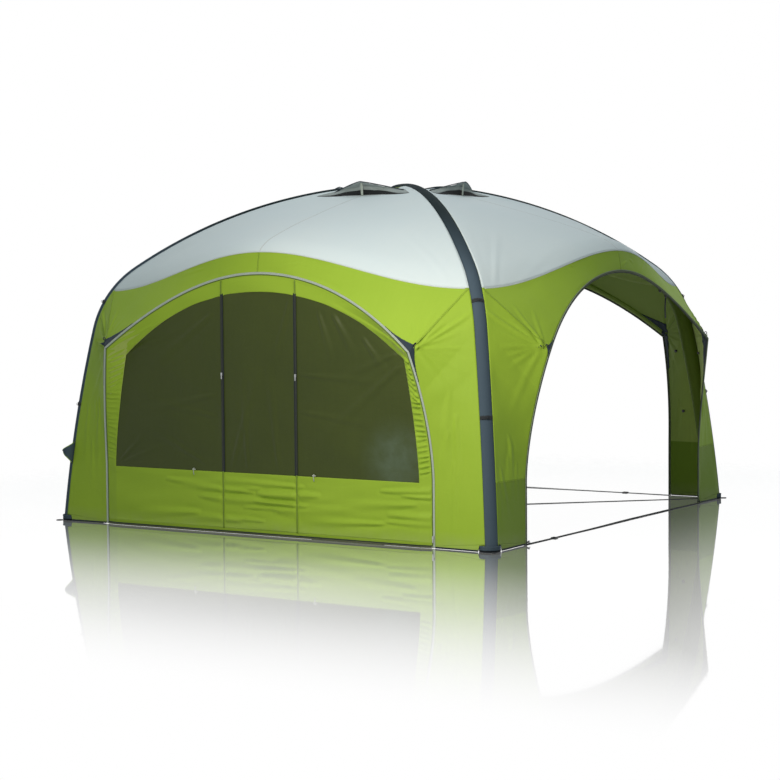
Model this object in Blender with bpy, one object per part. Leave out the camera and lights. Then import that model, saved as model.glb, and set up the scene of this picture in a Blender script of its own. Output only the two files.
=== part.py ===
# Square inflatable shelter: two crossed air beams carry a roof, four arched sides and one zipped-in wall.
# Metres, +Z up. The origin is on the ground under the crown. The wall closes the front, at -Y.
from math import acos, asin, atan2, cos, pi, radians, sin, sqrt

import bmesh
import bpy
from mathutils import Matrix, Vector

# Overall sizes
SIDE = 3.600                 # between neighbouring feet, at the outside of the beams
CROWN_HEIGHT = 2.452
GROUND_CLEARANCE = 0.010     # hem of the side panels above the ground

# Air beams: the outer line is three arcs, from the foot up
BEAM_RADIUS = 0.060
LEG_RADIUS = 10.500
KNEE_RADIUS = 0.740
ROOF_RADIUS = 3.600
FOOT_LEAN = radians(5.5)
SEAM_ANGLE = radians(45)     # the canopy joins the sleeve this far round from the outer line
SLEEVE_THICKNESS = 0.0012
BLADDER_THICKNESS = 0.0010
CROSSING_REACH = 0.340       # the beams start to flatten this far from the crown
CROSSING_WIDEN = 0.25
CROSSING_GAP = 0.0012
CROSSING_CLEARANCE = 0.004
LEG_STEPS = 5
LOWER_KNEE_STEPS = 3
UPPER_KNEE_STEPS = 2
ROOF_STEPS = 5
CROWN_REACHES = (0.430, 0.300, 0.190, 0.100, 0.050, 0.0)
ROOF_END_REACH = 0.100       # the roof panels end here, beside the crossing

# Fabric
FABRIC = 0.0015
SEAM_GAP = 0.00035           # each panel stops this far short of its seam
SKIN_GAP = 0.0004            # between layers that lie on each other

# Seam between the roof and the side panels
SEAM_KNEE_SHARE = 0.578      # of the knee's bend below the seam
SEAM_RISE = 0.256
BROW_BULGE = 0.240
BULGE_POWER = 1.6
ROOF_SAG = 0.034

# Arched openings, measured from the middle of a side
ARCH_FOOT = 1.380
ARCH_FOOT_OUT = 1.808
LEG_STRAIGHT = 0.420
SHOULDER_HEIGHT = 1.270
SHOULDER_INSET = 0.110
SHOULDER_OUT = 0.125
ARCH_HEIGHT = 1.787
ARCH_TOP_OUT = 1.825
ARCH_FLAT = 0.350            # half-width of the flat middle of the arch, seen from above
LEG_ROWS_BELOW_WINDOW = 2
LEG_CURVE_SHARES = (0.25, 0.49, 0.68, 0.82, 0.92)
PANEL_STEPS = 2

# Zip band round each arch
BAND_WIDTH = 0.020
BAND_THICKNESS = 0.004

# Brow poles and the shoulder patches over their ends
POLE_RADIUS = 0.0045
POLE_INSET = 0.024
POLE_CAP_RADIUS = 0.0075
POLE_CAP_LENGTH = 0.045
PATCH_WIDTH = 0.050
PATCH_THICKNESS = 0.0016

# Wall and window
DOOR_HALF_WIDTH = 0.310
DOOR_FRAME = 0.012
WALL_HEM = 0.035
SKIRT_HEM = 0.003
WINDOW_BOTTOM = 0.420
WINDOW_FOOT = 1.275
WINDOW_CORNER = 1.165
WINDOW_CORNER_HEIGHT = 1.215
WINDOW_TOP = 1.655
PANE_THICKNESS = 0.0010
ZIP_WIDTH = 0.024
ZIP_THICKNESS = 0.0016
ZIP_TOP_MARGIN = 0.006
SLIDER_SIZE = (0.014, 0.007, 0.020)
PULL_SIZE = (0.009, 0.002, 0.034)
DOOR_SLIDER_HEIGHT = 1.094
ARCH_SLIDER_HEIGHT = 0.070

# Roof vents
VENT_TOP = 0.450             # from the crown to the opening's upper edge, across the roof panel
VENT_LOW = 0.505
VENT_COLUMNS = 2
HOOD_HINGE = 0.430
HOOD_HALF_WIDTH = 0.305
HOOD_TAPER = 1.5
HOOD_DEPTH = 0.142
HOOD_END_DEPTH = 0.012
HOOD_OPEN = radians(43)
HOOD_THICKNESS = 0.0020
HOOD_STEPS = 4
HOOD_DEPTH_SHARES = (0, 0.35, 0.7, 1)
HINGE_LIFT = 0.0020
HOOD_LIFT = 0.0040
PROP_WIDTH = 0.020
PROP_THICKNESS = 0.0020
PROP_FOOT_MARGIN = 0.008
PROP_TOP_SHARE = 0.60        # between the hood's last two rows
PROP_TOP_MARGIN = 0.0027     # from the middle of the hood's thickness
PROP_FOOT_GAP = 0.0008

# Valves and their flaps
VALVE_HEIGHT = 0.500
VALVE_FLANGE = 0.0205
VALVE_FLANGE_THICKNESS = 0.0018
VALVE_NECK = 0.0135
VALVE_NECK_HEIGHT = 0.0075
VALVE_BORE = 0.0100
VALVE_CLEARANCE = 0.0004
VALVE_HOLE_CLEARANCE = 0.0010
CAP_WALL = 0.0045
CAP_TOP = 0.0030
CAP_CHAMFER = 0.0010
FLAP_HEIGHT = 0.175
FLAP_TIP = 0.016
FLAP_START = radians(38)
FLAP_END = radians(-44)
FLAP_RISE = 0.022
FLAP_STEPS = 6
FLAP_OPEN = radians(80)

# Feet, loops, straps, buckles, toggles
BOOT_WALL = 0.003
BOOT_FLOOR = 0.005
BOOT_HEIGHT = 0.040
BOOT_CLEARANCE = 0.007
HEM_OVER_BOOT = 0.003
STRAP_WIDTH = 0.025
STRAP_THICKNESS = 0.0020
STRAP_HUMP = 0.150           # the upper diagonal strap rises this far from the crossing
PEG_LOOP_REACH = 0.050
PEG_LOOP_WIDTH = 0.034
PEG_LOOP_WEB = 0.011
PEG_LOOP_THICKNESS = 0.003
JOIN_OVERLAP = 0.0006
GUY_STATIONS = (3, 7)        # rings of the beam that carry a guy band
GUY_BAND_WIDTH = 0.025
GUY_BAND_THICKNESS = 0.0020
GUY_BAND_SLACK = 0.0025
GUY_BAND_SHARE = 0.9         # of the strip's width
BUCKLE_LENGTH = 0.040
BUCKLE_WIDTH = 0.036
BUCKLE_THICKNESS = 0.005
BUCKLE_RAIL = 0.006
BUCKLE_PLACE = 1.000
TOGGLE_RADIUS = 0.004
TOGGLE_LENGTH = 0.026
TOGGLE_PLACES = (-0.563, 0.453)
TOGGLE_DROP = 0.015          # below the window

SIDES = ("front", "right", "back", "left")
SLATE = (0.045, 0.062, 0.085)
GREEN = (0.300, 0.440, 0.030)
OLIVE = (0.040, 0.055, 0.012)
PALE = (0.560, 0.600, 0.600)
PIPING = (0.400, 0.460, 0.390)
BLACK = (0.020, 0.022, 0.024)

HALF_SIDE = SIDE / 2
FOOT_REACH = HALF_SIDE * sqrt(2)
SHOULDER_ALONG = ARCH_FOOT - SHOULDER_INSET
DOOR_SHARE = DOOR_HALF_WIDTH / SHOULDER_ALONG
BROW_SHARES = [1.0, 0.86, 0.71, 0.55, 0.40, DOOR_SHARE, 0]
BAND_FOOT = STRAP_THICKNESS + SKIN_GAP
STRIP_TURNS = [SEAM_ANGLE * (2 * step / 3 - 1) for step in range(4)]
CHANNEL_TURNS = [SEAM_ANGLE + (2 * pi - 2 * SEAM_ANGLE) * step / 6 for step in range(7)]
WELD = 0.00002
DIAGONAL = Vector((1, 1, 0)).normalized()
ACROSS = Vector((-1, 1, 0)).normalized()


def clear_scene():
    for item in list(bpy.data.objects):
        bpy.data.objects.remove(item)


def make_material(name, colour, roughness=0.8, metallic=0.0):
    material = bpy.data.materials.new(name)
    material.use_nodes = True
    shader = material.node_tree.nodes["Principled BSDF"]
    shader.inputs["Base Color"].default_value = (*colour, 1)
    shader.inputs["Roughness"].default_value = roughness
    shader.inputs["Metallic"].default_value = metallic
    return material


def add_object(name, mesh, colour, roughness=0.8):
    piece = bpy.data.objects.new(name, mesh)
    bpy.context.scene.collection.objects.link(piece)
    mesh.materials.clear()
    mesh.materials.append(make_material(name, colour, roughness))
    return piece


def finish_mesh(bm, name):
    mesh = bpy.data.meshes.new(name)
    bm.to_mesh(mesh)
    bm.free()
    return mesh


def turned(points, quarter):
    """Points of the front side, turned about the vertical axis to another side."""
    turn = Matrix.Rotation(quarter * pi / 2, 3, "Z")
    return [turn @ point for point in points]


def side_point(along, out, height):
    """A point of the front side from its distance along, distance out and height."""
    return Vector((along, -out, height))


def mirrored(point):
    return Vector((-point.x, point.y, point.z))


def smooth(value):
    value = min(max(value, 0), 1)
    return value * value * (3 - 2 * value)


# Sheets

def grid_surface(bm, rows, skip, trim):
    """One surface through rows of points. skip lists the (row, column) cells that stay open."""
    row_count = len(rows) - 1
    column_count = len(rows[0]) - 1
    made = bmesh.ops.create_grid(bm, x_segments=column_count, y_segments=row_count, size=1)
    places = {vert: (round((vert.co.y + 1) / 2 * row_count), round((vert.co.x + 1) / 2 * column_count))
              for vert in made["verts"]}
    dropped = [face for face in bm.faces
               if (min(places[v][0] for v in face.verts), min(places[v][1] for v in face.verts)) in skip]
    for vert, (row, column) in places.items():
        vert.co = rows[row][column]
    bmesh.ops.delete(bm, geom=dropped, context="FACES")
    if trim:
        ring = bmesh.ops.inset_region(bm, faces=bm.faces, thickness=trim, use_boundary=True,
                                      use_even_offset=True)
        bmesh.ops.delete(bm, geom=ring["faces"], context="FACES")


def join_ends(bm, capped):
    """Joins the first and last columns of a surface into a tube, and closes its two ends if wanted."""
    bmesh.ops.remove_doubles(bm, verts=bm.verts, dist=WELD)
    if capped:
        rims = [edge for edge in bm.edges if edge.is_boundary]
        bmesh.ops.holes_fill(bm, edges=rims, sides=0)
        bmesh.ops.recalc_face_normals(bm, faces=bm.faces)


def sheet(name, rows, thickness, colour, roughness=0.8, offset=0.0, skip=(), tube=False, capped=False,
          trim=SEAM_GAP):
    """A closed solid of even thickness about the surface through the given rows of points."""
    bm = bmesh.new()
    grid_surface(bm, rows, skip, 0 if tube else trim)
    if tube:
        join_ends(bm, capped)
    piece = add_object(name, finish_mesh(bm, name), colour, roughness)
    solid = piece.modifiers.new("thickness", "SOLIDIFY")
    solid.thickness = thickness
    solid.offset = offset
    solid.use_even_offset = True
    solid.use_quality_normals = True
    return piece


def combine(piece, other, operation):
    """Joins another shape to a piece, or cuts it out, and leaves the result as the piece's own mesh."""
    step = piece.modifiers.new("combine", "BOOLEAN")
    step.operation = operation
    step.solver = "EXACT"
    step.object = other
    bpy.context.view_layer.update()
    graph = bpy.context.evaluated_depsgraph_get()
    mesh = bpy.data.meshes.new_from_object(piece.evaluated_get(graph))
    piece.modifiers.clear()
    piece.data = mesh
    bpy.data.objects.remove(other)


def copy_round(first, stem, sides):
    """Copies the front side's piece to the given sides."""
    for side in sides:
        piece = first.copy()
        piece.name = stem + side
        piece.data = first.data.copy()
        piece.data.materials[0] = first.data.materials[0].copy()
        turn = Matrix.Rotation(SIDES.index(side) * pi / 2, 4, "Z")
        piece.matrix_world = turn @ first.matrix_world
        bpy.context.scene.collection.objects.link(piece)


def box(name, size, place, colour=BLACK):
    bm = bmesh.new()
    bmesh.ops.create_cube(bm, size=1, matrix=Matrix.Translation(place) @ Matrix.Diagonal((*size, 1)))
    return add_object(name, finish_mesh(bm, name), colour, 0.4)


def cylinder(name, radius, depth, frame, sides, colour=BLACK):
    bm = bmesh.new()
    bmesh.ops.create_cone(bm, cap_ends=True, segments=sides, radius1=radius, radius2=radius,
                          depth=depth, matrix=frame)
    return add_object(name, finish_mesh(bm, name), colour, 0.4)


def turned_solid(name, outline, frame, colour, roughness=0.5, sides=16):
    """A solid turned about the frame's X axis from (along, radius) points."""
    bm = bmesh.new()
    verts = [bm.verts.new((along, radius, 0)) for along, radius in outline]
    edges = [bm.edges.new((verts[i - 1], verts[i])) for i in range(len(verts))
             if outline[i][1] or outline[i - 1][1]]
    bmesh.ops.spin(bm, geom=verts + edges, cent=(0, 0, 0), axis=(1, 0, 0), angle=2 * pi,
                   steps=sides, use_merge=True)
    bmesh.ops.remove_doubles(bm, verts=bm.verts, dist=WELD)
    bmesh.ops.recalc_face_normals(bm, faces=bm.faces)
    piece = add_object(name, finish_mesh(bm, name), colour, roughness)
    piece.matrix_world = frame
    return piece


# Beams

def beam_arcs():
    """Centres and joining angles of the leg, knee and roof arcs of a beam's outer line."""
    leg = Vector((FOOT_REACH - LEG_RADIUS * cos(FOOT_LEAN), -LEG_RADIUS * sin(FOOT_LEAN)))
    roof = Vector((0, CROWN_HEIGHT - ROOF_RADIUS))
    to_leg = LEG_RADIUS - KNEE_RADIUS
    to_roof = ROOF_RADIUS - KNEE_RADIUS
    apart = (roof - leg).length
    along = (to_leg ** 2 - to_roof ** 2 + apart ** 2) / (2 * apart)
    beside = sqrt(to_leg ** 2 - along ** 2)
    line = (roof - leg).normalized()
    options = [leg + line * along + Vector((-line.y, line.x)) * beside * sign for sign in (-1, 1)]
    knee = max(options, key=lambda centre: centre.y)
    leg_end = atan2(knee.y - leg.y, knee.x - leg.x)
    roof_start = atan2(knee.y - roof.y, knee.x - roof.x)
    return leg, knee, roof, leg_end, roof_start


LEG_CENTRE, KNEE_CENTRE, ROOF_CENTRE, LEG_END, ROOF_START = beam_arcs()
SEAM_KNEE_ANGLE = LEG_END + (ROOF_START - LEG_END) * SEAM_KNEE_SHARE


def outline_point(angle):
    """Point of the outer line where it faces this angle above the horizontal."""
    if angle < LEG_END:
        centre, radius = LEG_CENTRE, LEG_RADIUS
    elif angle < ROOF_START:
        centre, radius = KNEE_CENTRE, KNEE_RADIUS
    else:
        centre, radius = ROOF_CENTRE, ROOF_RADIUS
    return Vector((centre.x + radius * cos(angle), centre.y + radius * sin(angle)))


def leg_angle(height):
    return asin((height - LEG_CENTRE.y) / LEG_RADIUS)


def roof_angle(reach):
    return acos(reach / ROOF_RADIUS)


def spread(start, end, steps):
    """Values from start up to but not including end."""
    return [start + (end - start) * step / steps for step in range(steps)]


def beam_angles():
    """Angles of the rings of half a beam, from the foot to the crown."""
    seat = BOOT_FLOOR + BEAM_RADIUS * 2 * sin(FOOT_LEAN) + SKIN_GAP
    angles = spread(leg_angle(seat), LEG_END, LEG_STEPS)
    angles += spread(LEG_END, SEAM_KNEE_ANGLE, LOWER_KNEE_STEPS)
    angles += spread(SEAM_KNEE_ANGLE, ROOF_START, UPPER_KNEE_STEPS)
    vent_reaches = [out * sqrt(2) - BEAM_RADIUS * sin(SEAM_ANGLE) for out in (VENT_LOW, VENT_TOP)]
    reaches = spread(outline_point(ROOF_START).x, vent_reaches[0], ROOF_STEPS) + vent_reaches
    return angles + [roof_angle(reach) for reach in reaches + list(CROWN_REACHES)]


BEAM_ANGLES = beam_angles()
SEAM_STATION = LEG_STEPS + LOWER_KNEE_STEPS
VENT_STATION = SEAM_STATION + UPPER_KNEE_STEPS + ROOF_STEPS
LAST_STATION = VENT_STATION + 1 + sum(1 for reach in CROWN_REACHES if reach >= ROOF_END_REACH)


def flattening(reach):
    return smooth(1 - abs(reach) / CROSSING_REACH)


def section_point(angle, turn, shrink, level):
    """Point of a beam's section, shrink inside its surface. level is 1 for the beam above, -1 below."""
    outer = outline_point(angle)
    press = flattening(outer.x)
    half_height = BEAM_RADIUS - press * (BEAM_RADIUS / 2 + CROSSING_GAP / 2)
    half_width = BEAM_RADIUS * (1 + CROSSING_WIDEN * press)
    centre_depth = BEAM_RADIUS - level * (BEAM_RADIUS - half_height)
    out = (half_height - shrink) * cos(turn) - centre_depth
    across = (half_width - shrink) * sin(turn)
    return Vector((outer.x + cos(angle) * out, across, outer.y + sin(angle) * out))


def beam_rings(frame, turns, shrink, level):
    """Rings of a whole beam along the frame's X axis, from the foot at -X to the foot at +X."""
    half = [[section_point(angle, turn, shrink, level) for turn in turns] for angle in BEAM_ANGLES]
    other = [[mirrored(point) for point in ring] for ring in half[:-1]]
    return [[frame @ point for point in ring] for ring in other + half[::-1]]


def leg_frame(frame, angle, end):
    """Axes on a beam's centre line at one leg: X out of the beam, Z up along it. end is -1 or 1."""
    outer = outline_point(angle)
    out = Vector((end * cos(angle), 0, sin(angle)))
    up = Vector((-end * sin(angle), 0, cos(angle)))
    axes = Matrix((out, up.cross(out), up)).transposed().to_4x4()
    axes.translation = Vector((end * outer.x, 0, outer.y)) - out * BEAM_RADIUS
    return frame @ axes


def cut_valve_hole(piece, frame, radius):
    """Round hole through one wall of a sleeve or bladder, on the valve's axis."""
    place = frame @ Matrix.Translation((BEAM_RADIUS, 0, 0)) @ Matrix.Rotation(pi / 2, 4, "Y")
    combine(piece, cylinder("valve_hole", radius, BEAM_RADIUS, place, 16), "DIFFERENCE")


def add_guy_bands(strip, frame):
    """Webbing bands sewn across the strip. Their slack middles take the guy ropes."""
    turns = [turn * GUY_BAND_SHARE for turn in STRIP_TURNS]
    sunk = BEAM_RADIUS - SLEEVE_THICKNESS / 2
    loose = BEAM_RADIUS + GUY_BAND_SLACK + GUY_BAND_THICKNESS / 2
    for station in GUY_STATIONS:
        for end in (-1, 1):
            axes = leg_frame(frame, BEAM_ANGLES[station], end)
            rows = []
            for level in (-GUY_BAND_WIDTH / 2, GUY_BAND_WIDTH / 2):
                rows.append([axes @ Vector((reach * cos(turn), reach * sin(turn), level))
                             for reach, turn in zip((sunk, loose, loose, sunk), turns)])
            band = sheet("guy_band", rows, GUY_BAND_THICKNESS, SLATE, trim=0)
            combine(strip, band, "UNION")


def make_beam(name, level, azimuth):
    frame = Matrix.Rotation(azimuth, 4, "Z")
    valve_axes = leg_frame(frame, leg_angle(VALVE_HEIGHT), -1)
    middle = SLEEVE_THICKNESS / 2
    strip = sheet("sleeve_strip_" + name, beam_rings(frame, STRIP_TURNS, middle, level),
                  SLEEVE_THICKNESS, SLATE)
    add_guy_bands(strip, frame)
    cut_valve_hole(strip, valve_axes, VALVE_NECK + VALVE_HOLE_CLEARANCE)
    sheet("sleeve_channel_" + name, beam_rings(frame, CHANNEL_TURNS, middle, level),
          SLEEVE_THICKNESS, GREEN)
    rings = beam_rings(frame, STRIP_TURNS + CHANNEL_TURNS[1:], SLEEVE_THICKNESS + SKIN_GAP, level)
    bladder = sheet("bladder_" + name, rings, BLADDER_THICKNESS, PALE, roughness=0.4, offset=-1.0,
                    tube=True, capped=True)
    cut_valve_hole(bladder, valve_axes, VALVE_BORE)
    make_valve(name, valve_axes)


# Valves

def make_valve(name, frame):
    facet = cos(SEAM_ANGLE / 3)
    seat = BEAM_RADIUS * facet + SKIN_GAP
    root = (BEAM_RADIUS - SLEEVE_THICKNESS - SKIN_GAP) * facet + SKIN_GAP
    shoulder = seat + VALVE_FLANGE_THICKNESS
    mouth = shoulder + VALVE_NECK_HEIGHT
    base = [(root, VALVE_BORE), (mouth, VALVE_BORE), (mouth, VALVE_NECK), (shoulder, VALVE_NECK),
            (shoulder, VALVE_FLANGE), (seat, VALVE_FLANGE), (seat, VALVE_NECK), (root, VALVE_NECK)]
    turned_solid("valve_base_" + name, base, frame, BLACK)
    inner = VALVE_NECK + VALVE_CLEARANCE
    outer = inner + CAP_WALL
    foot = shoulder + VALVE_CLEARANCE
    ceiling = mouth + VALVE_CLEARANCE
    cap = [(foot, inner), (ceiling, inner), (ceiling, 0), (ceiling + CAP_TOP, 0),
           (ceiling + CAP_TOP, outer - CAP_CHAMFER), (ceiling + CAP_TOP - CAP_CHAMFER, outer), (foot, outer)]
    turned_solid("valve_cap_" + name, cap, frame, SLATE)
    make_flap(name, frame)


def make_flap(name, frame):
    """The flap is shaped closed over the valve, then swung open about its upright seam."""
    facet = SEAM_ANGLE / 3
    reach = BEAM_RADIUS * cos(facet) / cos(FLAP_START - 2 * facet) + SKIN_GAP + FABRIC / 2
    hinge = Matrix.Translation((reach * cos(FLAP_START), reach * sin(FLAP_START), 0))
    swing = frame @ hinge @ Matrix.Rotation(FLAP_OPEN, 4, "Z") @ hinge.inverted()
    rows = []
    for step in range(FLAP_STEPS + 1):
        share = step / FLAP_STEPS
        turn = FLAP_START + (FLAP_END - FLAP_START) * share
        far = reach + FLAP_RISE * sin(pi * share) ** 0.5
        half = FLAP_TIP / 2 + (FLAP_HEIGHT - FLAP_TIP) / 2 * (1 - share) ** 0.8
        rows.append([swing @ Vector((far * cos(turn), far * sin(turn), half * level))
                     for level in (-1, -0.3, 0.3, 1)])
    sheet("valve_flap_" + name, rows, FABRIC, SLATE, trim=0)


# Canopy surfaces, for the front side

def edge_point(station):
    """Where the canopy meets the beam at the right of the front side."""
    angle = BEAM_ANGLES[station]
    outer = outline_point(angle)
    press = flattening(outer.x)
    reach = BEAM_RADIUS + SKIN_GAP + FABRIC / 2
    depth = (BEAM_RADIUS - reach * cos(SEAM_ANGLE)) * (1 - press) + BEAM_RADIUS * press
    beside = reach * sin(SEAM_ANGLE)
    if press:
        half_height = BEAM_RADIUS * (1 - press / 2)
        level = max(half_height - depth, 0) / half_height
        widest = BEAM_RADIUS * (1 + CROSSING_WIDEN * press) * sqrt(1 - level ** 2)
        beside = max(beside, widest + CROSSING_CLEARANCE * press + reach - BEAM_RADIUS)
    centre = outer.x - cos(angle) * depth
    point = DIAGONAL * centre + ACROSS * beside
    return side_point(point.x, point.y, outer.y - sin(angle) * depth)


def arch_leg(height):
    """Edge of the opening at one leg, below the shoulder."""
    rise = max(0, (height - LEG_STRAIGHT) / (SHOULDER_HEIGHT - LEG_STRAIGHT))
    along = ARCH_FOOT - SHOULDER_INSET * rise ** 2
    return side_point(along, ARCH_FOOT_OUT + SHOULDER_OUT * rise ** 1.5, height)


def arch_brow(share):
    """Edge of the opening above the shoulder: share is 1 at the shoulder and 0 at the top."""
    along = SHOULDER_ALONG * share
    swing = max(0, (along - ARCH_FLAT) / (SHOULDER_ALONG - ARCH_FLAT))
    out = ARCH_TOP_OUT + (ARCH_FOOT_OUT + SHOULDER_OUT - ARCH_TOP_OUT) * swing ** 2
    return side_point(along, out, ARCH_HEIGHT - (ARCH_HEIGHT - SHOULDER_HEIGHT) * share ** 2)


def leg_heights(foot):
    curve = [LEG_STRAIGHT + (SHOULDER_HEIGHT - LEG_STRAIGHT) * share for share in LEG_CURVE_SHARES]
    return [foot, LEG_STRAIGHT / 2, LEG_STRAIGHT] + curve


def from_left_to_right(half):
    """A symmetric line from its right half, whose last point is on the middle."""
    return [mirrored(point) for point in half] + half[-2::-1]


def arch_edge(foot):
    """The edge of the opening, from the left foot over the top to the right foot."""
    return from_left_to_right([arch_leg(height) for height in leg_heights(foot)]
                              + [arch_brow(share) for share in BROW_SHARES])


def roof_point(station, share):
    """Point of the roof between the beams, at a share of its half-width there."""
    end = edge_point(station)
    start = outline_point(SEAM_KNEE_ANGLE).x
    inward = (start - outline_point(BEAM_ANGLES[station]).x) / start
    rise = SEAM_RISE * (1 - inward) ** 3 - ROOF_SAG * sin(pi * inward ** 1.3)
    bell = (1 + cos(pi * share)) / 2
    flat = 1 - share ** (2 + 4 * smooth(inward * 1.6 - 0.4))
    shape = bell + (flat - bell) * min(1, 2.5 * inward)
    bulge = BROW_BULGE * (1 - inward) ** 2 * (1 - share ** BULGE_POWER)
    return side_point(end.x * share, bulge - end.y, end.z + rise * shape)


def roof_row(station):
    return from_left_to_right([roof_point(station, share) for share in BROW_SHARES])


def side_rows():
    """Cross lines of a side panel from its opening to the beam or the roof seam, from foot to foot."""
    legs = [edge_point(station) for station in range(SEAM_STATION)]
    hem = BOOT_HEIGHT + HEM_OVER_BOOT + SEAM_GAP
    legs[0] = legs[0].lerp(legs[1], (hem - legs[0].z) / (legs[1].z - legs[0].z))
    outer = [mirrored(point) for point in legs] + roof_row(SEAM_STATION) + legs[::-1]
    rows = []
    for near, far in zip(arch_edge(GROUND_CLEARANCE), outer):
        border = PATCH_WIDTH / (far - near).length
        shares = [0] + [border + (1 - border) * step / PANEL_STEPS for step in range(PANEL_STEPS + 1)]
        rows.append([near.lerp(far, share) for share in shares])
    return rows


def roof_place(station, along):
    """Point of the roof at a distance along, on or between the beam stations."""
    first = min(int(station), LAST_STATION - 1)
    near, far = (roof_point(row, min(abs(along) / edge_point(row).x, 1)) for row in (first, first + 1))
    return near.lerp(far, station - first)


def roof_height(along, out):
    """Height of the front roof above a point."""
    low, high = float(SEAM_STATION), float(LAST_STATION)
    for _ in range(30):
        middle = (low + high) / 2
        if -roof_place(middle, along).y > out:
            low = middle
        else:
            high = middle
    return roof_place(low, along).z


def make_roof():
    rows = [roof_row(station) for station in range(SEAM_STATION, LAST_STATION + 1)]
    middle = len(BROW_SHARES) - 1
    opening = [(VENT_STATION - SEAM_STATION, middle + column)
               for column in range(-VENT_COLUMNS, VENT_COLUMNS)]
    first = sheet("roof_panel_front", rows, FABRIC, PALE, skip=opening)
    copy_round(first, "roof_panel_", SIDES[1:])


def outward(rows, index):
    """Outward direction of a side panel at the inner end of a cross line."""
    along = rows[min(index + 1, len(rows) - 1)][0] - rows[max(index - 1, 0)][0]
    normal = along.cross(rows[index][1] - rows[index][0]).normalized()
    return normal if normal.y < 0 else -normal


def make_sides():
    rows = side_rows()
    first = sheet("side_panel_front", rows, FABRIC, GREEN)
    depth = FABRIC / 2 + PATCH_THICKNESS
    for shoulder in (SEAM_STATION, len(rows) - 1 - SEAM_STATION):
        lines = []
        for index in range(shoulder - 1, shoulder + 2):
            lift = outward(rows, index) * depth / 2
            lines.append([rows[index][0] + lift, rows[index][1] + lift])
        combine(first, sheet("shoulder_patch", lines, depth, SLATE, trim=SEAM_GAP * 2), "UNION")
    copy_round(first, "side_panel_", SIDES[1:])
    band = [[near, far] for near, far in zip(arch_edge(BAND_FOOT), band_inner(BAND_FOOT))]
    first = sheet("arch_zip_front", band, BAND_THICKNESS, PIPING)
    copy_round(first, "arch_zip_", SIDES[1:])


def band_inner(foot):
    """Inner edge of the zip band, square to the edge of the opening."""
    edge = arch_edge(foot)
    inner = []
    for index, point in enumerate(edge):
        along = edge[min(index + 1, len(edge) - 1)] - edge[max(index - 1, 0)]
        inner.append(point + Vector((along.z, 0, -along.x)).normalized() * BAND_WIDTH)
    return inner


def make_poles():
    """Brow poles under the side panels, from shoulder to shoulder, with a cap on each end."""
    rows = side_rows()
    depth = FABRIC / 2 + SKIN_GAP * 2 + POLE_CAP_RADIUS
    route = []
    for index in range(SEAM_STATION, len(rows) - SEAM_STATION):
        across = (rows[index][1] - rows[index][0]).normalized()
        route.append(rows[index][0] + across * POLE_INSET - outward(rows, index) * depth)
    swell = POLE_CAP_RADIUS / POLE_RADIUS
    first_cap = POLE_CAP_LENGTH / (route[1] - route[0]).length
    points = [(route[0], swell), (route[0].lerp(route[1], first_cap), swell),
              (route[0].lerp(route[1], first_cap * 1.1), 1)]
    points += [(point, 1) for point in route[1:-1]]
    points += [(mirrored(point), size) for point, size in points[2::-1]]
    curve = bpy.data.curves.new("brow_pole_front", "CURVE")
    curve.dimensions = "3D"
    curve.bevel_depth = POLE_RADIUS
    curve.bevel_resolution = 1
    curve.use_fill_caps = True
    spline = curve.splines.new("POLY")
    spline.points.add(len(points) - 1)
    for place, (point, size) in zip(spline.points, points):
        place.co = (*point, 1)
        place.radius = size
    first = bpy.data.objects.new("brow_pole_front", curve)
    curve.materials.append(make_material("brow_pole_front", BLACK, 0.4))
    bpy.context.scene.collection.objects.link(first)
    copy_round(first, "brow_pole_", SIDES[1:])


# Roof vents

def hood_rows():
    """Rows of the front hood from its hinge line to its free edge, propped open."""
    axis = side_point(0, HOOD_HINGE, roof_height(HOOD_HALF_WIDTH, HOOD_HINGE) + HINGE_LIFT)
    place = Matrix.Translation(axis)
    swing = place @ Matrix.Rotation(-HOOD_OPEN, 4, "X") @ place.inverted()
    rows = []
    for depth in HOOD_DEPTH_SHARES:
        line = []
        for step in range(-HOOD_STEPS, HOOD_STEPS + 1):
            share = abs(step / HOOD_STEPS)
            reach = HOOD_END_DEPTH + (HOOD_DEPTH - HOOD_END_DEPTH) * (1 - share ** HOOD_TAPER)
            along = HOOD_HALF_WIDTH * step / HOOD_STEPS
            out = HOOD_HINGE + reach * depth
            lift = HINGE_LIFT + (HOOD_LIFT - HINGE_LIFT) * depth
            line.append(swing @ side_point(along, out, roof_height(along, out) + lift))
        rows.append(line)
    return rows


def make_vents():
    rows = hood_rows()
    first = sheet("vent_hood_front", rows, HOOD_THICKNESS, SLATE, trim=0)
    copy_round(first, "vent_hood_", SIDES[1:])
    lip = -roof_point(VENT_STATION, 0).y + PROP_FOOT_MARGIN
    foot = side_point(0, lip, roof_height(0, lip) + FABRIC / 2 + PROP_FOOT_GAP)
    top = rows[-2][HOOD_STEPS].lerp(rows[-1][HOOD_STEPS], PROP_TOP_SHARE)
    top += (foot - top).normalized() * PROP_TOP_MARGIN
    half = Vector((PROP_WIDTH / 2, 0, 0))
    lines = [[point - half, point + half] for point in (foot, foot.lerp(top, 0.5), top)]
    first = sheet("vent_prop_front", lines, PROP_THICKNESS, PIPING, trim=0)
    copy_round(first, "vent_prop_", SIDES[1:])


# Wall

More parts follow.
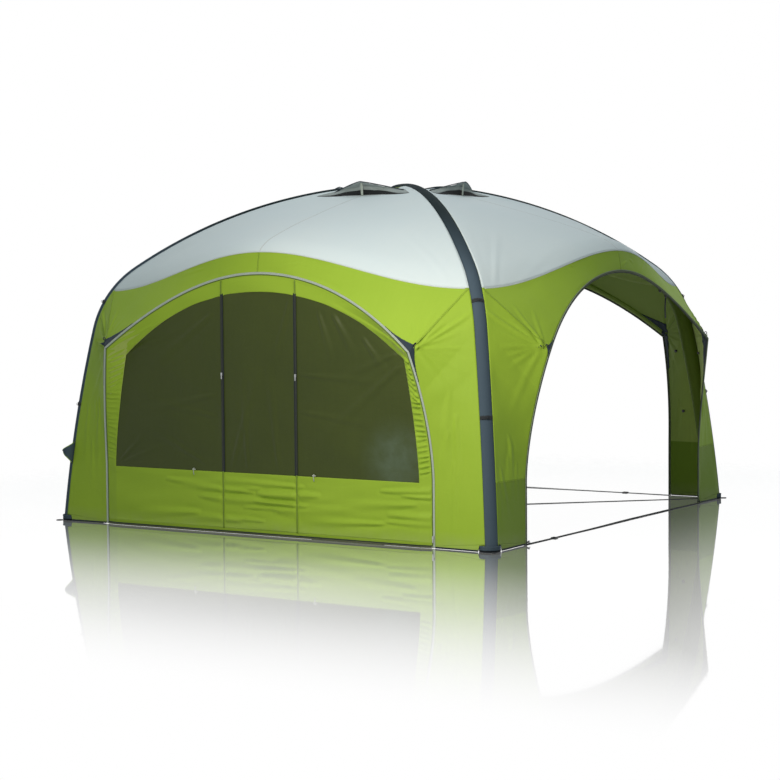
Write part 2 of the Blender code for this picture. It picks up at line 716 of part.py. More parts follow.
def window_point(share, row):
    """Point of the wall on a column inside the window's side line."""
    heights = leg_heights(WALL_HEM)
    fraction = share / BROW_SHARES[1]
    rise = max(0, (heights[row] - WINDOW_BOTTOM) / (heights[-1] - WINDOW_BOTTOM))
    top = WINDOW_TOP - (WINDOW_TOP - WINDOW_CORNER_HEIGHT) * fraction ** 2.2
    height = min(heights[row], WINDOW_BOTTOM) + (top - WINDOW_BOTTOM) * rise
    along = (WINDOW_FOOT + (WINDOW_CORNER - WINDOW_FOOT) * rise ** 1.5) * fraction
    if share <= DOOR_SHARE:
        along = share * SHOULDER_ALONG
    return side_point(along, ARCH_TOP_OUT, height)


def wall_rows():
    """The wall as rows from the hem to the brow. A narrow column frames the door beside each zip."""
    band = [mirrored(point) for point in band_inner(WALL_HEM)]
    legs = len(leg_heights(WALL_HEM))
    columns = [band[:legs + 1]]
    for number, share in list(enumerate(BROW_SHARES))[1:]:
        top = band[legs + number]
        if share == 0:
            frame_share = DOOR_SHARE - DOOR_FRAME / SHOULDER_ALONG
            over = band[legs + number - 1].lerp(top, DOOR_FRAME / DOOR_HALF_WIDTH)
            columns.append([window_point(frame_share, row) for row in range(legs)] + [over])
        columns.append([window_point(share, row) for row in range(legs)] + [top])
    columns = [[mirrored(point) for point in column] for column in columns] + columns[-2::-1]
    return [[column[row] for column in columns] for row in range(legs + 1)]


def make_wall():
    rows = wall_rows()
    sill = LEG_ROWS_BELOW_WINDOW
    head = len(rows) - 2
    left = BROW_SHARES.index(DOOR_SHARE)
    right = len(rows[0]) - 1 - left
    last = len(rows[0]) - 1
    spans = {"wall_left": (0, left, 1, left), "wall_door": (left, right, left + 1, right - 1),
             "wall_right": (right, last, right, last - 1)}
    for name, (start, end, window_start, window_end) in spans.items():
        skip = [(row, column - start) for row in range(sill, head)
                for column in range(window_start, window_end)]
        panel = sheet(name, [row[start:end + 1] for row in rows], FABRIC, GREEN, skip=skip)
        add_toggles(panel, rows[0][start].x, rows[0][end].x)
        pane = [row[window_start:window_end + 1] for row in rows[sill:head + 1]]
        sheet(name.replace("wall", "window"), pane, PANE_THICKNESS, OLIVE, roughness=0.4)
    skirt = [[Vector((point.x, point.y, height)) for point in rows[0]]
             for height in (SKIRT_HEM, WALL_HEM)]
    sheet("wall_skirt", skirt, FABRIC, SLATE)
    make_zips(rows[-1][right].z - ZIP_TOP_MARGIN)


def add_toggles(panel, start, end):
    """Toggles under the window, which hold the curtain when it is rolled down."""
    out = ARCH_TOP_OUT + FABRIC / 2 + TOGGLE_RADIUS - JOIN_OVERLAP
    for along in TOGGLE_PLACES:
        if start < along < end:
            place = Matrix.Translation(side_point(along, out, WINDOW_BOTTOM - TOGGLE_DROP))
            lie = Matrix.Rotation(pi / 2, 4, "Y")
            combine(panel, cylinder("toggle", TOGGLE_RADIUS, TOGGLE_LENGTH, place @ lie, 8), "UNION")


def make_slider(name, place):
    """A zip slider with its hanging pull tab, in front of the zip."""
    piece = box(name, SLIDER_SIZE, place)
    drop = Vector((0, (SLIDER_SIZE[1] - PULL_SIZE[1]) / -2 - JOIN_OVERLAP, -PULL_SIZE[2] / 2))
    combine(piece, box("pull", PULL_SIZE, place + drop), "UNION")


def make_zips(top):
    face = ARCH_TOP_OUT + FABRIC / 2 + SKIN_GAP + ZIP_THICKNESS / 2
    front = face + ZIP_THICKNESS / 2 + SKIN_GAP + SLIDER_SIZE[1] / 2
    for side, sign in (("left", -1), ("right", 1)):
        middle = sign * DOOR_HALF_WIDTH
        rows = [[side_point(middle + edge * ZIP_WIDTH / 2, face, height) for edge in (-1, 1)]
                for height in (WALL_HEM, top)]
        sheet("door_zip_" + side, rows, ZIP_THICKNESS, BLACK)
        make_slider("zip_slider_" + side, side_point(middle, front, DOOR_SLIDER_HEIGHT))
    front = ARCH_FOOT_OUT + BAND_THICKNESS / 2 + SKIN_GAP + SLIDER_SIZE[1] / 2
    make_slider("arch_slider", side_point(ARCH_FOOT - BAND_WIDTH / 2, front, ARCH_SLIDER_HEIGHT))


# Feet, straps and buckles

def foot_reach():
    """Distance from the origin to the centre of a beam's foot."""
    angle = BEAM_ANGLES[0]
    return outline_point(angle).x - cos(angle) * BEAM_RADIUS


def make_boots():
    """Cups under the beams, each with a flat loop for a ground peg."""
    outer = BEAM_RADIUS + BOOT_CLEARANCE + BOOT_WALL
    corner = Matrix.Rotation(-pi / 4, 4, "Z") @ Matrix.Translation((foot_reach(), 0, 0))
    outline = [(0, 0), (0, outer), (BOOT_HEIGHT, outer), (BOOT_HEIGHT, outer - BOOT_WALL),
               (BOOT_FLOOR, outer - BOOT_WALL), (BOOT_FLOOR, 0)]
    upright = Matrix.Rotation(-pi / 2, 4, "Y")
    first = turned_solid("corner_boot_front", outline, corner @ upright, SLATE)
    steps = 12
    rows = []
    for inset in (0, PEG_LOOP_WEB):
        line = []
        for step in range(steps + 1):
            turn = 2 * pi * step / steps
            along = outer - BOOT_WALL / 2 + PEG_LOOP_REACH / 2 + (PEG_LOOP_REACH / 2 - inset) * cos(turn)
            across = (PEG_LOOP_WIDTH / 2 - inset) * sin(turn)
            line.append(corner @ Vector((along, across, PEG_LOOP_THICKNESS / 2 + JOIN_OVERLAP)))
        rows.append(line)
    combine(first, sheet("peg_loop", rows, PEG_LOOP_THICKNESS, BLACK, tube=True), "UNION")
    copy_round(first, "corner_boot_", SIDES[1:])


def make_straps():
    height = STRAP_THICKNESS / 2
    end = ARCH_FOOT - SKIN_GAP
    half = STRAP_WIDTH / 2
    rows = [[side_point(along, ARCH_FOOT_OUT + edge, height) for edge in (-half, half)]
            for along in (-end, end)]
    for quarter, side in list(enumerate(SIDES))[1:]:
        placed = [turned(row, quarter) for row in rows]
        sheet("ground_strap_" + side, placed, STRAP_THICKNESS, BLACK, trim=0)
    reach = foot_reach() - BEAM_RADIUS - BOOT_CLEARANCE - BOOT_WALL - SKIN_GAP
    lift = STRAP_THICKNESS + SKIN_GAP
    for name, azimuth, rise in (("over", -pi / 4, lift), ("under", pi / 4, 0)):
        frame = Matrix.Rotation(azimuth, 4, "Z")
        line = ((-reach, 0), (-STRAP_HUMP, 0), (-STRAP_WIDTH, rise),
                (STRAP_WIDTH, rise), (STRAP_HUMP, 0), (reach, 0))
        rows = [[frame @ Vector((along, edge, height + up)) for edge in (-half, half)]
                for along, up in line]
        sheet("diagonal_strap_" + name, rows, STRAP_THICKNESS, BLACK, trim=0)


def make_buckles():
    """Ladder-lock buckles on the ground straps."""
    height = STRAP_THICKNESS + SKIN_GAP + BUCKLE_THICKNESS / 2
    slot = (BUCKLE_LENGTH - 3 * BUCKLE_RAIL) / 2
    stops = [0, BUCKLE_RAIL, BUCKLE_RAIL + slot, 2 * BUCKLE_RAIL + slot,
             BUCKLE_LENGTH - BUCKLE_RAIL, BUCKLE_LENGTH]
    half = BUCKLE_WIDTH / 2
    rows = [[side_point(stop - BUCKLE_PLACE, ARCH_FOOT_OUT + edge, height)
             for edge in (-half, BUCKLE_RAIL - half, half - BUCKLE_RAIL, half)] for stop in stops]
    for quarter, side in list(enumerate(SIDES))[1:]:
        placed = [turned(row, quarter) for row in rows]
        sheet("strap_buckle_" + side, placed, BUCKLE_THICKNESS, BLACK, 0.4, skip=[(1, 1), (3, 1)], trim=0)


clear_scene()
make_beam("over", 1, -pi / 4)
make_beam("under", -1, pi / 4)
make_roof()
make_sides()
make_poles()
make_vents()
make_wall()
make_boots()
make_straps()
make_buckles()
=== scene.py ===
# Looks of the square inflatable shelter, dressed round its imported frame. Metres, +Z up.
from math import asin, atan2, cos, pi, radians, sin, sqrt

import bmesh
import bpy
import numpy as np
from mathutils import Matrix, Vector


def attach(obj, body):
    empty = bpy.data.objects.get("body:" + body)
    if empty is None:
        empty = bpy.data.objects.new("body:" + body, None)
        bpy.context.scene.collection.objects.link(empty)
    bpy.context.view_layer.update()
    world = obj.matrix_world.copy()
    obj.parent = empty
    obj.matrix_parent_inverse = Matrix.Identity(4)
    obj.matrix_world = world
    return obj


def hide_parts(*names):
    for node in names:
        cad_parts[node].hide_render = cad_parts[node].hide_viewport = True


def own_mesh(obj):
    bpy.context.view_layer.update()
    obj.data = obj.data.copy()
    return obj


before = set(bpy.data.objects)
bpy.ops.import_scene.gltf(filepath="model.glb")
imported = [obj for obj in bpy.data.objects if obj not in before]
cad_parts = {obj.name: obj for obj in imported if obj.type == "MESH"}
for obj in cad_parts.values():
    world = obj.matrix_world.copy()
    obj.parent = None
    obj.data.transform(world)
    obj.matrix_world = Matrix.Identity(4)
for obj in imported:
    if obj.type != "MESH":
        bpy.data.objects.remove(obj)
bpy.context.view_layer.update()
sides = ["front", "right", "back", "left"]


cameraPlan = {"place": (7.8598, -12.4078, 1.6868), "yaw": -0.5713, "pitch": -0.0534, "roll": -0.0083,
              "focalPixels": 1943.8, "imagePixels": 780, "sensor": 36}


def makeCamera(plan):
    yaw, pitch, roll = plan["yaw"], plan["pitch"], plan["roll"]
    forward = Vector((sin(yaw) * cos(pitch), cos(yaw) * cos(pitch), sin(pitch)))
    right = Vector((cos(yaw), -sin(yaw), 0))
    up = right.cross(forward)
    columns = (right * cos(roll) + up * sin(roll), up * cos(roll) - right * sin(roll), -forward)
    data = bpy.data.cameras.new("camera")
    data.sensor_width = plan["sensor"]
    data.lens = plan["focalPixels"] * plan["sensor"] / plan["imagePixels"]
    data.clip_end = 200
    camera = bpy.data.objects.new("camera", data)
    bpy.context.scene.collection.objects.link(camera)
    camera.matrix_world = Matrix.Translation(plan["place"]) @ Matrix(columns).transposed().to_4x4()
    bpy.context.scene.camera = camera


makeCamera(cameraPlan)


def feed(tree, socket, value):
    if isinstance(value, bpy.types.NodeSocket):
        tree.links.new(value, socket)
    else:
        socket.default_value = value


def addNode(tree, kind, inputs=None, **settings):
    made = tree.nodes.new("ShaderNode" + kind)
    for key, value in settings.items():
        setattr(made, key, value)
    for key, value in (inputs or {}).items():
        feed(tree, made.inputs[key], value)
    return made


def calc(tree, operation, first, second=0.5, third=0.5):
    return addNode(tree, "Math", {0: first, 1: second, 2: third}, operation=operation).outputs[0]


def axisOf(tree, vector, axis):
    return addNode(tree, "SeparateXYZ", {0: vector}).outputs[axis]


def fading(tree, value, near, far, start=1.0):
    return addNode(tree, "MapRange", {"Value": value, "From Min": near, "From Max": far, "To Min": start,
                                      "To Max": 0.0}, interpolation_type="SMOOTHSTEP").outputs[0]


def mixColour(tree, factor, first, second):
    blend = addNode(tree, "Mix", data_type="RGBA")
    ends = [socket for socket in blend.inputs if socket.type == "RGBA"]
    for socket, value in zip((blend.inputs[0], *ends), (factor, first, second)):
        feed(tree, socket, value)
    return [socket for socket in blend.outputs if socket.type == "RGBA"][0]


def newGroup(name, inputs, outputs):
    group = bpy.data.node_groups.new(name, "ShaderNodeTree")
    for label, (kind, value) in inputs.items():
        socket = group.interface.new_socket(label, in_out="INPUT", socket_type="NodeSocket" + kind)
        if value is not None:
            socket.default_value = value
    for label, kind in outputs.items():
        group.interface.new_socket(label, in_out="OUTPUT", socket_type="NodeSocket" + kind)
    return group, group.nodes.new("NodeGroupInput").outputs, group.nodes.new("NodeGroupOutput").inputs


def weaveGroup():
    # Plain weave: two sets of threads, over and under in turn
    group, given, out = newGroup("plainWeave", {"Vector": ("Vector", None), "Threads": ("Float", 900.0)},
                                 {"Height": "Float"})
    scaled = addNode(group, "VectorMath", {0: given["Vector"], "Scale": given["Threads"]}, operation="SCALE")
    parts = addNode(group, "SeparateXYZ", {0: scaled.outputs[0]}).outputs
    warp = calc(group, "SINE", calc(group, "MULTIPLY", parts["X"], pi))
    weft = calc(group, "SINE", calc(group, "MULTIPLY", parts["Y"], pi))
    group.links.new(calc(group, "MULTIPLY_ADD", calc(group, "MULTIPLY", warp, weft), 0.5, 0.5), out["Height"])
    return group


def toneGroup():
    # Cloth is never one even colour: broad fading, faint streaks along the weave and fine mottling
    group, given, out = newGroup("clothTone", {"Vector": ("Vector", None), "Base": ("Color", (0.5, 0.5, 0.5, 1)),
                                               "Faded": ("Color", (0.5, 0.5, 0.5, 1)), "Scale": ("Float", 1.6)},
                                 {"Color": "Color", "Mottle": "Float"})
    broad = addNode(group, "TexNoise", {"Vector": given["Vector"], "Scale": given["Scale"], "Detail": 4.0})
    stretched = addNode(group, "Mapping", {"Vector": given["Vector"], "Scale": (26.0, 1.5, 3.0)})
    streaks = addNode(group, "TexNoise", {"Vector": stretched.outputs[0], "Scale": 2.0, "Detail": 3.0})
    fine = addNode(group, "TexNoise", {"Vector": given["Vector"], "Scale": 60.0, "Detail": 2.0})
    mix = calc(group, "MULTIPLY_ADD", streaks.outputs["Fac"], 0.3,
               calc(group, "MULTIPLY_ADD", broad.outputs["Fac"], 0.9, -0.2))
    mix = calc(group, "MULTIPLY_ADD", fine.outputs["Fac"], 0.12, mix)
    group.links.new(mixColour(group, mix, given["Base"], given["Faded"]), out["Color"])
    group.links.new(fine.outputs["Fac"], out["Mottle"])
    return group


def puckerGroup():
    # Soft dents and short creases that handling leaves in thin cloth
    group, given, out = newGroup("puckers", {"Vector": ("Vector", None), "Scale": ("Float", 9.0),
                                             "Stretch": ("Float", 2.5)}, {"Height": "Float"})
    shape = addNode(group, "CombineXYZ", {"X": 1.0, "Y": 1.0, "Z": given["Stretch"]})
    placed = addNode(group, "VectorMath", {0: given["Vector"], 1: shape.outputs[0]}, operation="MULTIPLY")
    bent = addNode(group, "TexNoise", {"Vector": placed.outputs[0], "Scale": given["Scale"], "Detail": 3.0,
                                       "Distortion": 0.6})
    ridge = calc(group, "ABSOLUTE", calc(group, "SUBTRACT", bent.outputs["Fac"], 0.5))
    group.links.new(calc(group, "SUBTRACT", 1.0, calc(group, "MULTIPLY", ridge, 2.0)), out["Height"])
    return group


def stitchGroup():
    # Rows of lockstitch along U, a pitch apart, at a distance from each edge of a tape of the given width
    group, given, out = newGroup("lockstitch", {"UV": ("Vector", None), "Width": ("Float", 0.02),
                                                "Inset": ("Float", 0.003), "Pitch": ("Float", 0.005)},
                                 {"Mask": "Float"})
    parts = addNode(group, "SeparateXYZ", {0: given["UV"]}).outputs
    fromEdge = calc(group, "SUBTRACT", calc(group, "MULTIPLY", given["Width"], 0.5),
                    calc(group, "ABSOLUTE", calc(group, "SUBTRACT", parts["Y"],
                                                 calc(group, "MULTIPLY", given["Width"], 0.5))))
    offLine = calc(group, "ABSOLUTE", calc(group, "SUBTRACT", fromEdge, given["Inset"]))
    row = calc(group, "LESS_THAN", offLine, 0.0007)
    dash = calc(group, "LESS_THAN", calc(group, "FRACT", calc(group, "DIVIDE", parts["X"], given["Pitch"])), 0.66)
    group.links.new(calc(group, "MULTIPLY", row, dash), out["Mask"])
    return group


def dustGroup():
    # Pale dust low down, where the hems meet the ground
    group, given, out = newGroup("groundDust", {"Vector": ("Vector", None), "Height": ("Float", 0.12)},
                                 {"Mask": "Float"})
    parts = addNode(group, "SeparateXYZ", {0: given["Vector"]}).outputs
    low = calc(group, "SUBTRACT", 1.0, calc(group, "DIVIDE", parts["Z"], given["Height"]))
    noise = addNode(group, "TexNoise", {"Vector": given["Vector"], "Scale": 14.0, "Detail": 5.0})
    clamped = addNode(group, "Clamp", {0: low}).outputs[0]
    group.links.new(calc(group, "MULTIPLY", clamped, calc(group, "MULTIPLY", noise.outputs["Fac"], 0.7)), out["Mask"])
    return group


groups = {"weave": weaveGroup(), "tone": toneGroup(), "pucker": puckerGroup(), "stitch": stitchGroup(),
          "dust": dustGroup()}


def useGroup(tree, name, inputs):
    return addNode(tree, "Group", inputs, node_tree=groups[name]).outputs


sideSeamHeight = 0.435
clothBasis = {"roughness": 0.70, "threads": 500, "bump": 0.4, "pucker": 0.3, "puckerScale": 20, "sheen": 0.04,
              "specular": 0.22}
greenPlan = {"base": (0.305, 0.470, 0.036), "faded": (0.365, 0.530, 0.047), "roughness": 0.62, "threads": 700,
             "bump": 0.25, "pucker": 0.5, "puckerScale": 7, "dust": True, "lining": (0.440, 0.560, 0.130)}
slatePlan = {"base": (0.062, 0.092, 0.124), "faded": (0.086, 0.120, 0.154), "roughness": 0.82, "threads": 600,
             "pucker": 0.6, "puckerScale": 16, "sheen": 0.0, "specular": 0.08}
seamPlan = {"threads": 700, "bump": 0.3, "puckerScale": 14, "stitch": 0.014}
finishes = {
    "greenCloth": greenPlan,
    "legCloth": {**greenPlan, "lowPanel": (0.195, 0.305, 0.026), "lowHeight": sideSeamHeight},
    "paleWeb": {"base": (0.430, 0.480, 0.430), "faded": (0.520, 0.560, 0.500), "threads": 420, "bump": 0.6,
                "pucker": 0.2, "puckerScale": 16, "sheen": 0.02},
    "hoodCloth": {"base": (0.300, 0.345, 0.345), "faded": (0.370, 0.410, 0.400), "roughness": 0.62,
                  "threads": 700, "bump": 0.25, "pucker": 0.6, "puckerScale": 9, "sheen": 0.02},
    "roofCloth": {"base": (0.680, 0.780, 0.820), "faded": (0.750, 0.820, 0.830), "roughness": 0.58,
                  "threads": 700, "bump": 0.25, "pucker": 0.35, "puckerScale": 5},
    # painted shade: the slate sleeves darken to the crown colour high over the roof
    "slateCloth": {**slatePlan, "crown": (0.014, 0.024, 0.027)},
    "bootCloth": {**slatePlan, "lowPanel": (0.010, 0.014, 0.018), "lowHeight": 0.014},
    "darkCloth": {"base": (0.010, 0.015, 0.020), "faded": (0.018, 0.024, 0.030), "roughness": 0.74,
                  "threads": 600, "pucker": 0.4, "puckerScale": 16, "sheen": 0.03},
    "patchCloth": {"base": (0.018, 0.029, 0.042), "faded": (0.030, 0.044, 0.060), "roughness": 0.72,
                   "threads": 600, "pucker": 0.8, "puckerScale": 24, "sheen": 0.03},
    # painted shade: the beams' channel sleeves are a dark olive copy of the green, as they look under the canopy
    "channelShadeCloth": {"base": (0.100, 0.150, 0.014), "faded": (0.135, 0.200, 0.020), "roughness": 0.66,
                     "threads": 700, "bump": 0.3, "pucker": 0.9, "puckerScale": 12, "sheen": 0.03, "dust": True},
    "skirtCloth": {"base": (0.250, 0.385, 0.030), "faded": (0.300, 0.435, 0.040), "pucker": 0.7,
                   "lowPanel": (0.110, 0.125, 0.070), "lowHeight": 0.015},
    "zipBand": {"base": (0.390, 0.465, 0.430), "faded": (0.490, 0.555, 0.510), "bump": 0.5, "stitch": 0.020,
                "inner": (0.110, 0.160, 0.035)},
    # painted shade: on the open sides the zip band and bead are darker copies of the front's
    "shadedOpenBand": {"base": (0.100, 0.125, 0.070), "faded": (0.140, 0.165, 0.105), "bump": 0.5, "stitch": 0.020,
                 "inner": (0.020, 0.028, 0.018)},
    "shadedOpenBead": {"base": (0.230, 0.270, 0.190), "faded": (0.300, 0.335, 0.250), "bump": 0.5},
    "webbing": {"base": (0.016, 0.019, 0.022), "faded": (0.030, 0.034, 0.038), "roughness": 0.75, "threads": 420,
                "bump": 0.8, "pucker": 0.2, "puckerScale": 12, "stitch": 0.025},
    "seamCloth": {**seamPlan, "base": (0.210, 0.330, 0.022), "faded": (0.270, 0.400, 0.032), "roughness": 0.62},
    "roofSeamCloth": {**seamPlan, "base": (0.540, 0.600, 0.615), "faded": (0.620, 0.660, 0.660),
                      "roughness": 0.6},
    "zipTape": {"base": (0.225, 0.350, 0.028), "faded": (0.270, 0.405, 0.036), "bump": 0.5, "pucker": 0.1,
                "coil": 0.015, "span": (0.424, 1.640), "spanColour": (0.022, 0.026, 0.022)},
    "netCloth": {"base": (0.012, 0.013, 0.014), "faded": (0.022, 0.024, 0.026), "roughness": 0.8, "threads": 380,
                 "bump": 1.0, "pucker": 0.2, "puckerScale": 9},
}
# the window film carries a painted reflection: a pale patch low on its right
films = {"windowFilm": {"base": (0.036, 0.050, 0.008), "faded": (0.056, 0.074, 0.013), "roughness": 0.50,
                        "bump": 0.003, "paintedReflection": (0.115, 0.160, 0.112), "paintedReflectionPlace": (1.10, -1.825, 0.56),
                        "paintedReflectionReach": 0.32, "paintedReflectionStrength": 1.05},
         "bladderFilm": {"base": (0.55, 0.58, 0.58), "faded": (0.62, 0.64, 0.63), "roughness": 0.35,
                         "bump": 0.001}}
mouldings = {"blackPlastic": ((0.020, 0.022, 0.024), 0.45), "slatePlastic": ((0.070, 0.080, 0.090), 0.45),
             "palePlastic": ((0.500, 0.520, 0.480), 0.45), "fibrePole": ((0.025, 0.027, 0.030), 0.35),
             "sliderMetal": ((0.300, 0.310, 0.310), 0.35, 1.0)}


def startMaterial(name):
    material = bpy.data.materials.new(name)
    material.use_nodes = True
    tree = material.node_tree
    return material, tree, tree.nodes["Principled BSDF"], addNode(tree, "TexCoord").outputs


def finishShader(tree, shader, height, values, strength=1.0, distance=1.0):
    bump = addNode(tree, "Bump", {"Height": height, "Strength": strength, "Distance": distance})
    for key, value in {"Normal": bump.outputs[0], **values}.items():
        feed(tree, shader.inputs[key], value)


def clothMaterial(name, plan):
    plan = {**clothBasis, **plan}
    material, tree, shader, coordinates = startMaterial(name)
    spot, uv = coordinates["Object"], coordinates["UV"]
    tone = useGroup(tree, "tone", {"Vector": spot, "Base": (*plan["base"], 1), "Faded": (*plan["faded"], 1)})
    weave = useGroup(tree, "weave", {"Vector": uv, "Threads": float(plan["threads"])})
    pucker = useGroup(tree, "pucker", {"Vector": spot, "Scale": float(plan["puckerScale"])})
    height = calc(tree, "MULTIPLY_ADD", pucker["Height"], plan["pucker"] * 0.002,
                  calc(tree, "MULTIPLY", weave["Height"], plan["bump"] * 0.0002))
    colour = tone["Color"]

    def tinted(mask, tint):
        return mixColour(tree, mask, colour, (*tint, 1))

    if "stitch" in plan:
        mask = useGroup(tree, "stitch", {"UV": uv, "Width": plan["stitch"]})["Mask"]
        colour = tinted(mask, [min(1, value * 1.8 + 0.02) for value in plan["faded"]])
        height = calc(tree, "MULTIPLY_ADD", mask, 0.0004, height)
    if "inner" in plan:                                # the half of the tape that carries the teeth
        colour = tinted(calc(tree, "GREATER_THAN", axisOf(tree, uv, "Y"), 0.0125), plan["inner"])
    if "lining" in plan:                               # the coated face that looks into the shelter is paler
        facing = addNode(tree, "VectorMath", {0: addNode(tree, "NewGeometry").outputs["Normal"], 1: spot},
                         operation="DOT_PRODUCT")
        colour = tinted(calc(tree, "LESS_THAN", facing.outputs["Value"], 0.0), plan["lining"])
    if "lowPanel" in plan:                             # another colour low down, as on the splash panels
        colour = tinted(calc(tree, "LESS_THAN", axisOf(tree, spot, "Z"), plan["lowHeight"]), plan["lowPanel"])
    if "crown" in plan:                                # painted shade: the sleeves are darkened over the crown
        high = addNode(tree, "MapRange", {"Value": axisOf(tree, spot, "Z"), "From Min": 1.75, "From Max": 2.20})
        colour = tinted(high.outputs[0], plan["crown"])
    if "span" in plan:                                 # the zip's tape is dark between the panes, green elsewhere
        up, (low, high) = axisOf(tree, spot, "Z"), plan["span"]
        between = calc(tree, "MULTIPLY", calc(tree, "GREATER_THAN", up, low), calc(tree, "LESS_THAN", up, high))
        colour = tinted(between, plan["spanColour"])
    if "coil" in plan:
        mask = coilMask(tree, uv, plan["coil"])
        colour = tinted(calc(tree, "MULTIPLY", mask, 0.5), (0.075, 0.085, 0.075))
        height = calc(tree, "MULTIPLY_ADD", mask, 0.001, height)
    if "dust" in plan:
        mask = useGroup(tree, "dust", {"Vector": spot})["Mask"]
        colour = tinted(calc(tree, "MULTIPLY", mask, 0.5), (0.42, 0.41, 0.33))
    finishShader(tree, shader, height, {
        "Base Color": colour, "Roughness": calc(tree, "MULTIPLY_ADD", tone["Mottle"], 0.16, plan["roughness"] - 0.08),
        "Specular IOR Level": plan["specular"], "Sheen Weight": plan["sheen"], "Sheen Roughness": 0.4})
    return material


def coilMask(tree, uv, width):
    # Nylon coil down the middle of a zip tape
    parts = addNode(tree, "SeparateXYZ", {0: uv}).outputs
    off = calc(tree, "ABSOLUTE", calc(tree, "SUBTRACT", parts["Y"], width / 2))
    teeth = calc(tree, "SINE", calc(tree, "MULTIPLY", parts["X"], 2 * pi / 0.0035))
    return calc(tree, "MULTIPLY", calc(tree, "LESS_THAN", off, 0.0035), calc(tree, "MULTIPLY_ADD", teeth, 0.4, 0.6))


def filmMaterial(name, plan):
    material, tree, shader, coordinates = startMaterial(name)
    spot = coordinates["Object"]
    tone = useGroup(tree, "tone", {"Vector": spot, "Base": (*plan["base"], 1), "Faded": (*plan["faded"], 1),
                                   "Scale": 2.2})
    colour = tone["Color"]
    if "paintedReflection" in plan:                                 # painted reflection: a pale, soft, patchy blotch low on the film's right
        off = addNode(tree, "VectorMath", {0: spot, 1: plan["paintedReflectionPlace"]}, operation="DISTANCE")
        near = fading(tree, off.outputs["Value"], 0.0, plan["paintedReflectionReach"])
        patchy = addNode(tree, "TexNoise", {"Vector": spot, "Scale": 11.0, "Detail": 4.0})
        mask = calc(tree, "MULTIPLY", near, calc(tree, "MULTIPLY", patchy.outputs["Fac"], plan["paintedReflectionStrength"]))
        colour = mixColour(tree, mask, colour, (*plan["paintedReflection"], 1))
    pucker = useGroup(tree, "pucker", {"Vector": spot, "Scale": 6.0, "Stretch": 1.6})
    weave = useGroup(tree, "weave", {"Vector": coordinates["UV"], "Threads": 500.0})
    height = calc(tree, "MULTIPLY_ADD", pucker["Height"], plan["bump"], calc(tree, "MULTIPLY", weave["Height"], 4e-5))
    finishShader(tree, shader, height, {
        "Base Color": colour, "Roughness": calc(tree, "MULTIPLY_ADD", tone["Mottle"], 0.2, plan["roughness"] - 0.1),
        "Specular IOR Level": 0.22})
    return material


def mouldedMaterial(name, base, roughness, metallic=0.0):
    material, tree, shader, coordinates = startMaterial(name)
    grain, scuffs = (addNode(tree, "TexNoise", {"Vector": coordinates["Object"], "Scale": scale, "Detail": detail})
                     .outputs["Fac"] for scale, detail in ((900.0, 2.0), (45.0, 6.0)))
    worn = [min(1, value * 1.6 + 0.02) for value in base]
    mask = calc(tree, "MULTIPLY", calc(tree, "POWER", scuffs, 3.0), 1.2)
    finishShader(tree, shader, grain, {
        "Base Color": mixColour(tree, mask, (*base, 1), (*worn, 1)), "Metallic": metallic,
        "Roughness": calc(tree, "MULTIPLY_ADD", scuffs, 0.25, roughness - 0.1)}, 0.25, 0.0002)
    return material


materials = {name: clothMaterial(name, plan) for name, plan in finishes.items()}
materials.update({name: filmMaterial(name, plan) for name, plan in films.items()})
materials.update({name: mouldedMaterial(name, *plan) for name, plan in mouldings.items()})
print("materials made:", len(materials))


def addPiece(name, mesh, material, body="shelter", nodes=()):
    piece = bpy.data.objects.new(name, mesh)
    bpy.context.scene.collection.objects.link(piece)
    mesh.materials.clear()
    mesh.materials.append(materials[material])
    mesh.polygons.foreach_set("use_smooth", [True] * len(mesh.polygons))
    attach(piece, body)
    if nodes:
        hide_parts(*nodes)
    return piece


def meshFrom(bm, name):
    mesh = bpy.data.meshes.new(name)
    bm.to_mesh(mesh)
    bm.free()
    return mesh


def unit(vectors):
    return vectors / np.linalg.norm(vectors, axis=-1, keepdims=True)


def turnedPoints(points, quarter):
    turn = quarter * pi / 2
    return np.stack((points[..., 0] * cos(turn) - points[..., 1] * sin(turn),
                     points[..., 0] * sin(turn) + points[..., 1] * cos(turn), points[..., 2]), axis=-1)


def placedPoints(local, axes):
    return local @ axes[:3, :3].T + axes[:3, 3]


indoors = np.array((0, 0, 0.6))       # a point well inside, which tells a panel's outside from its inside


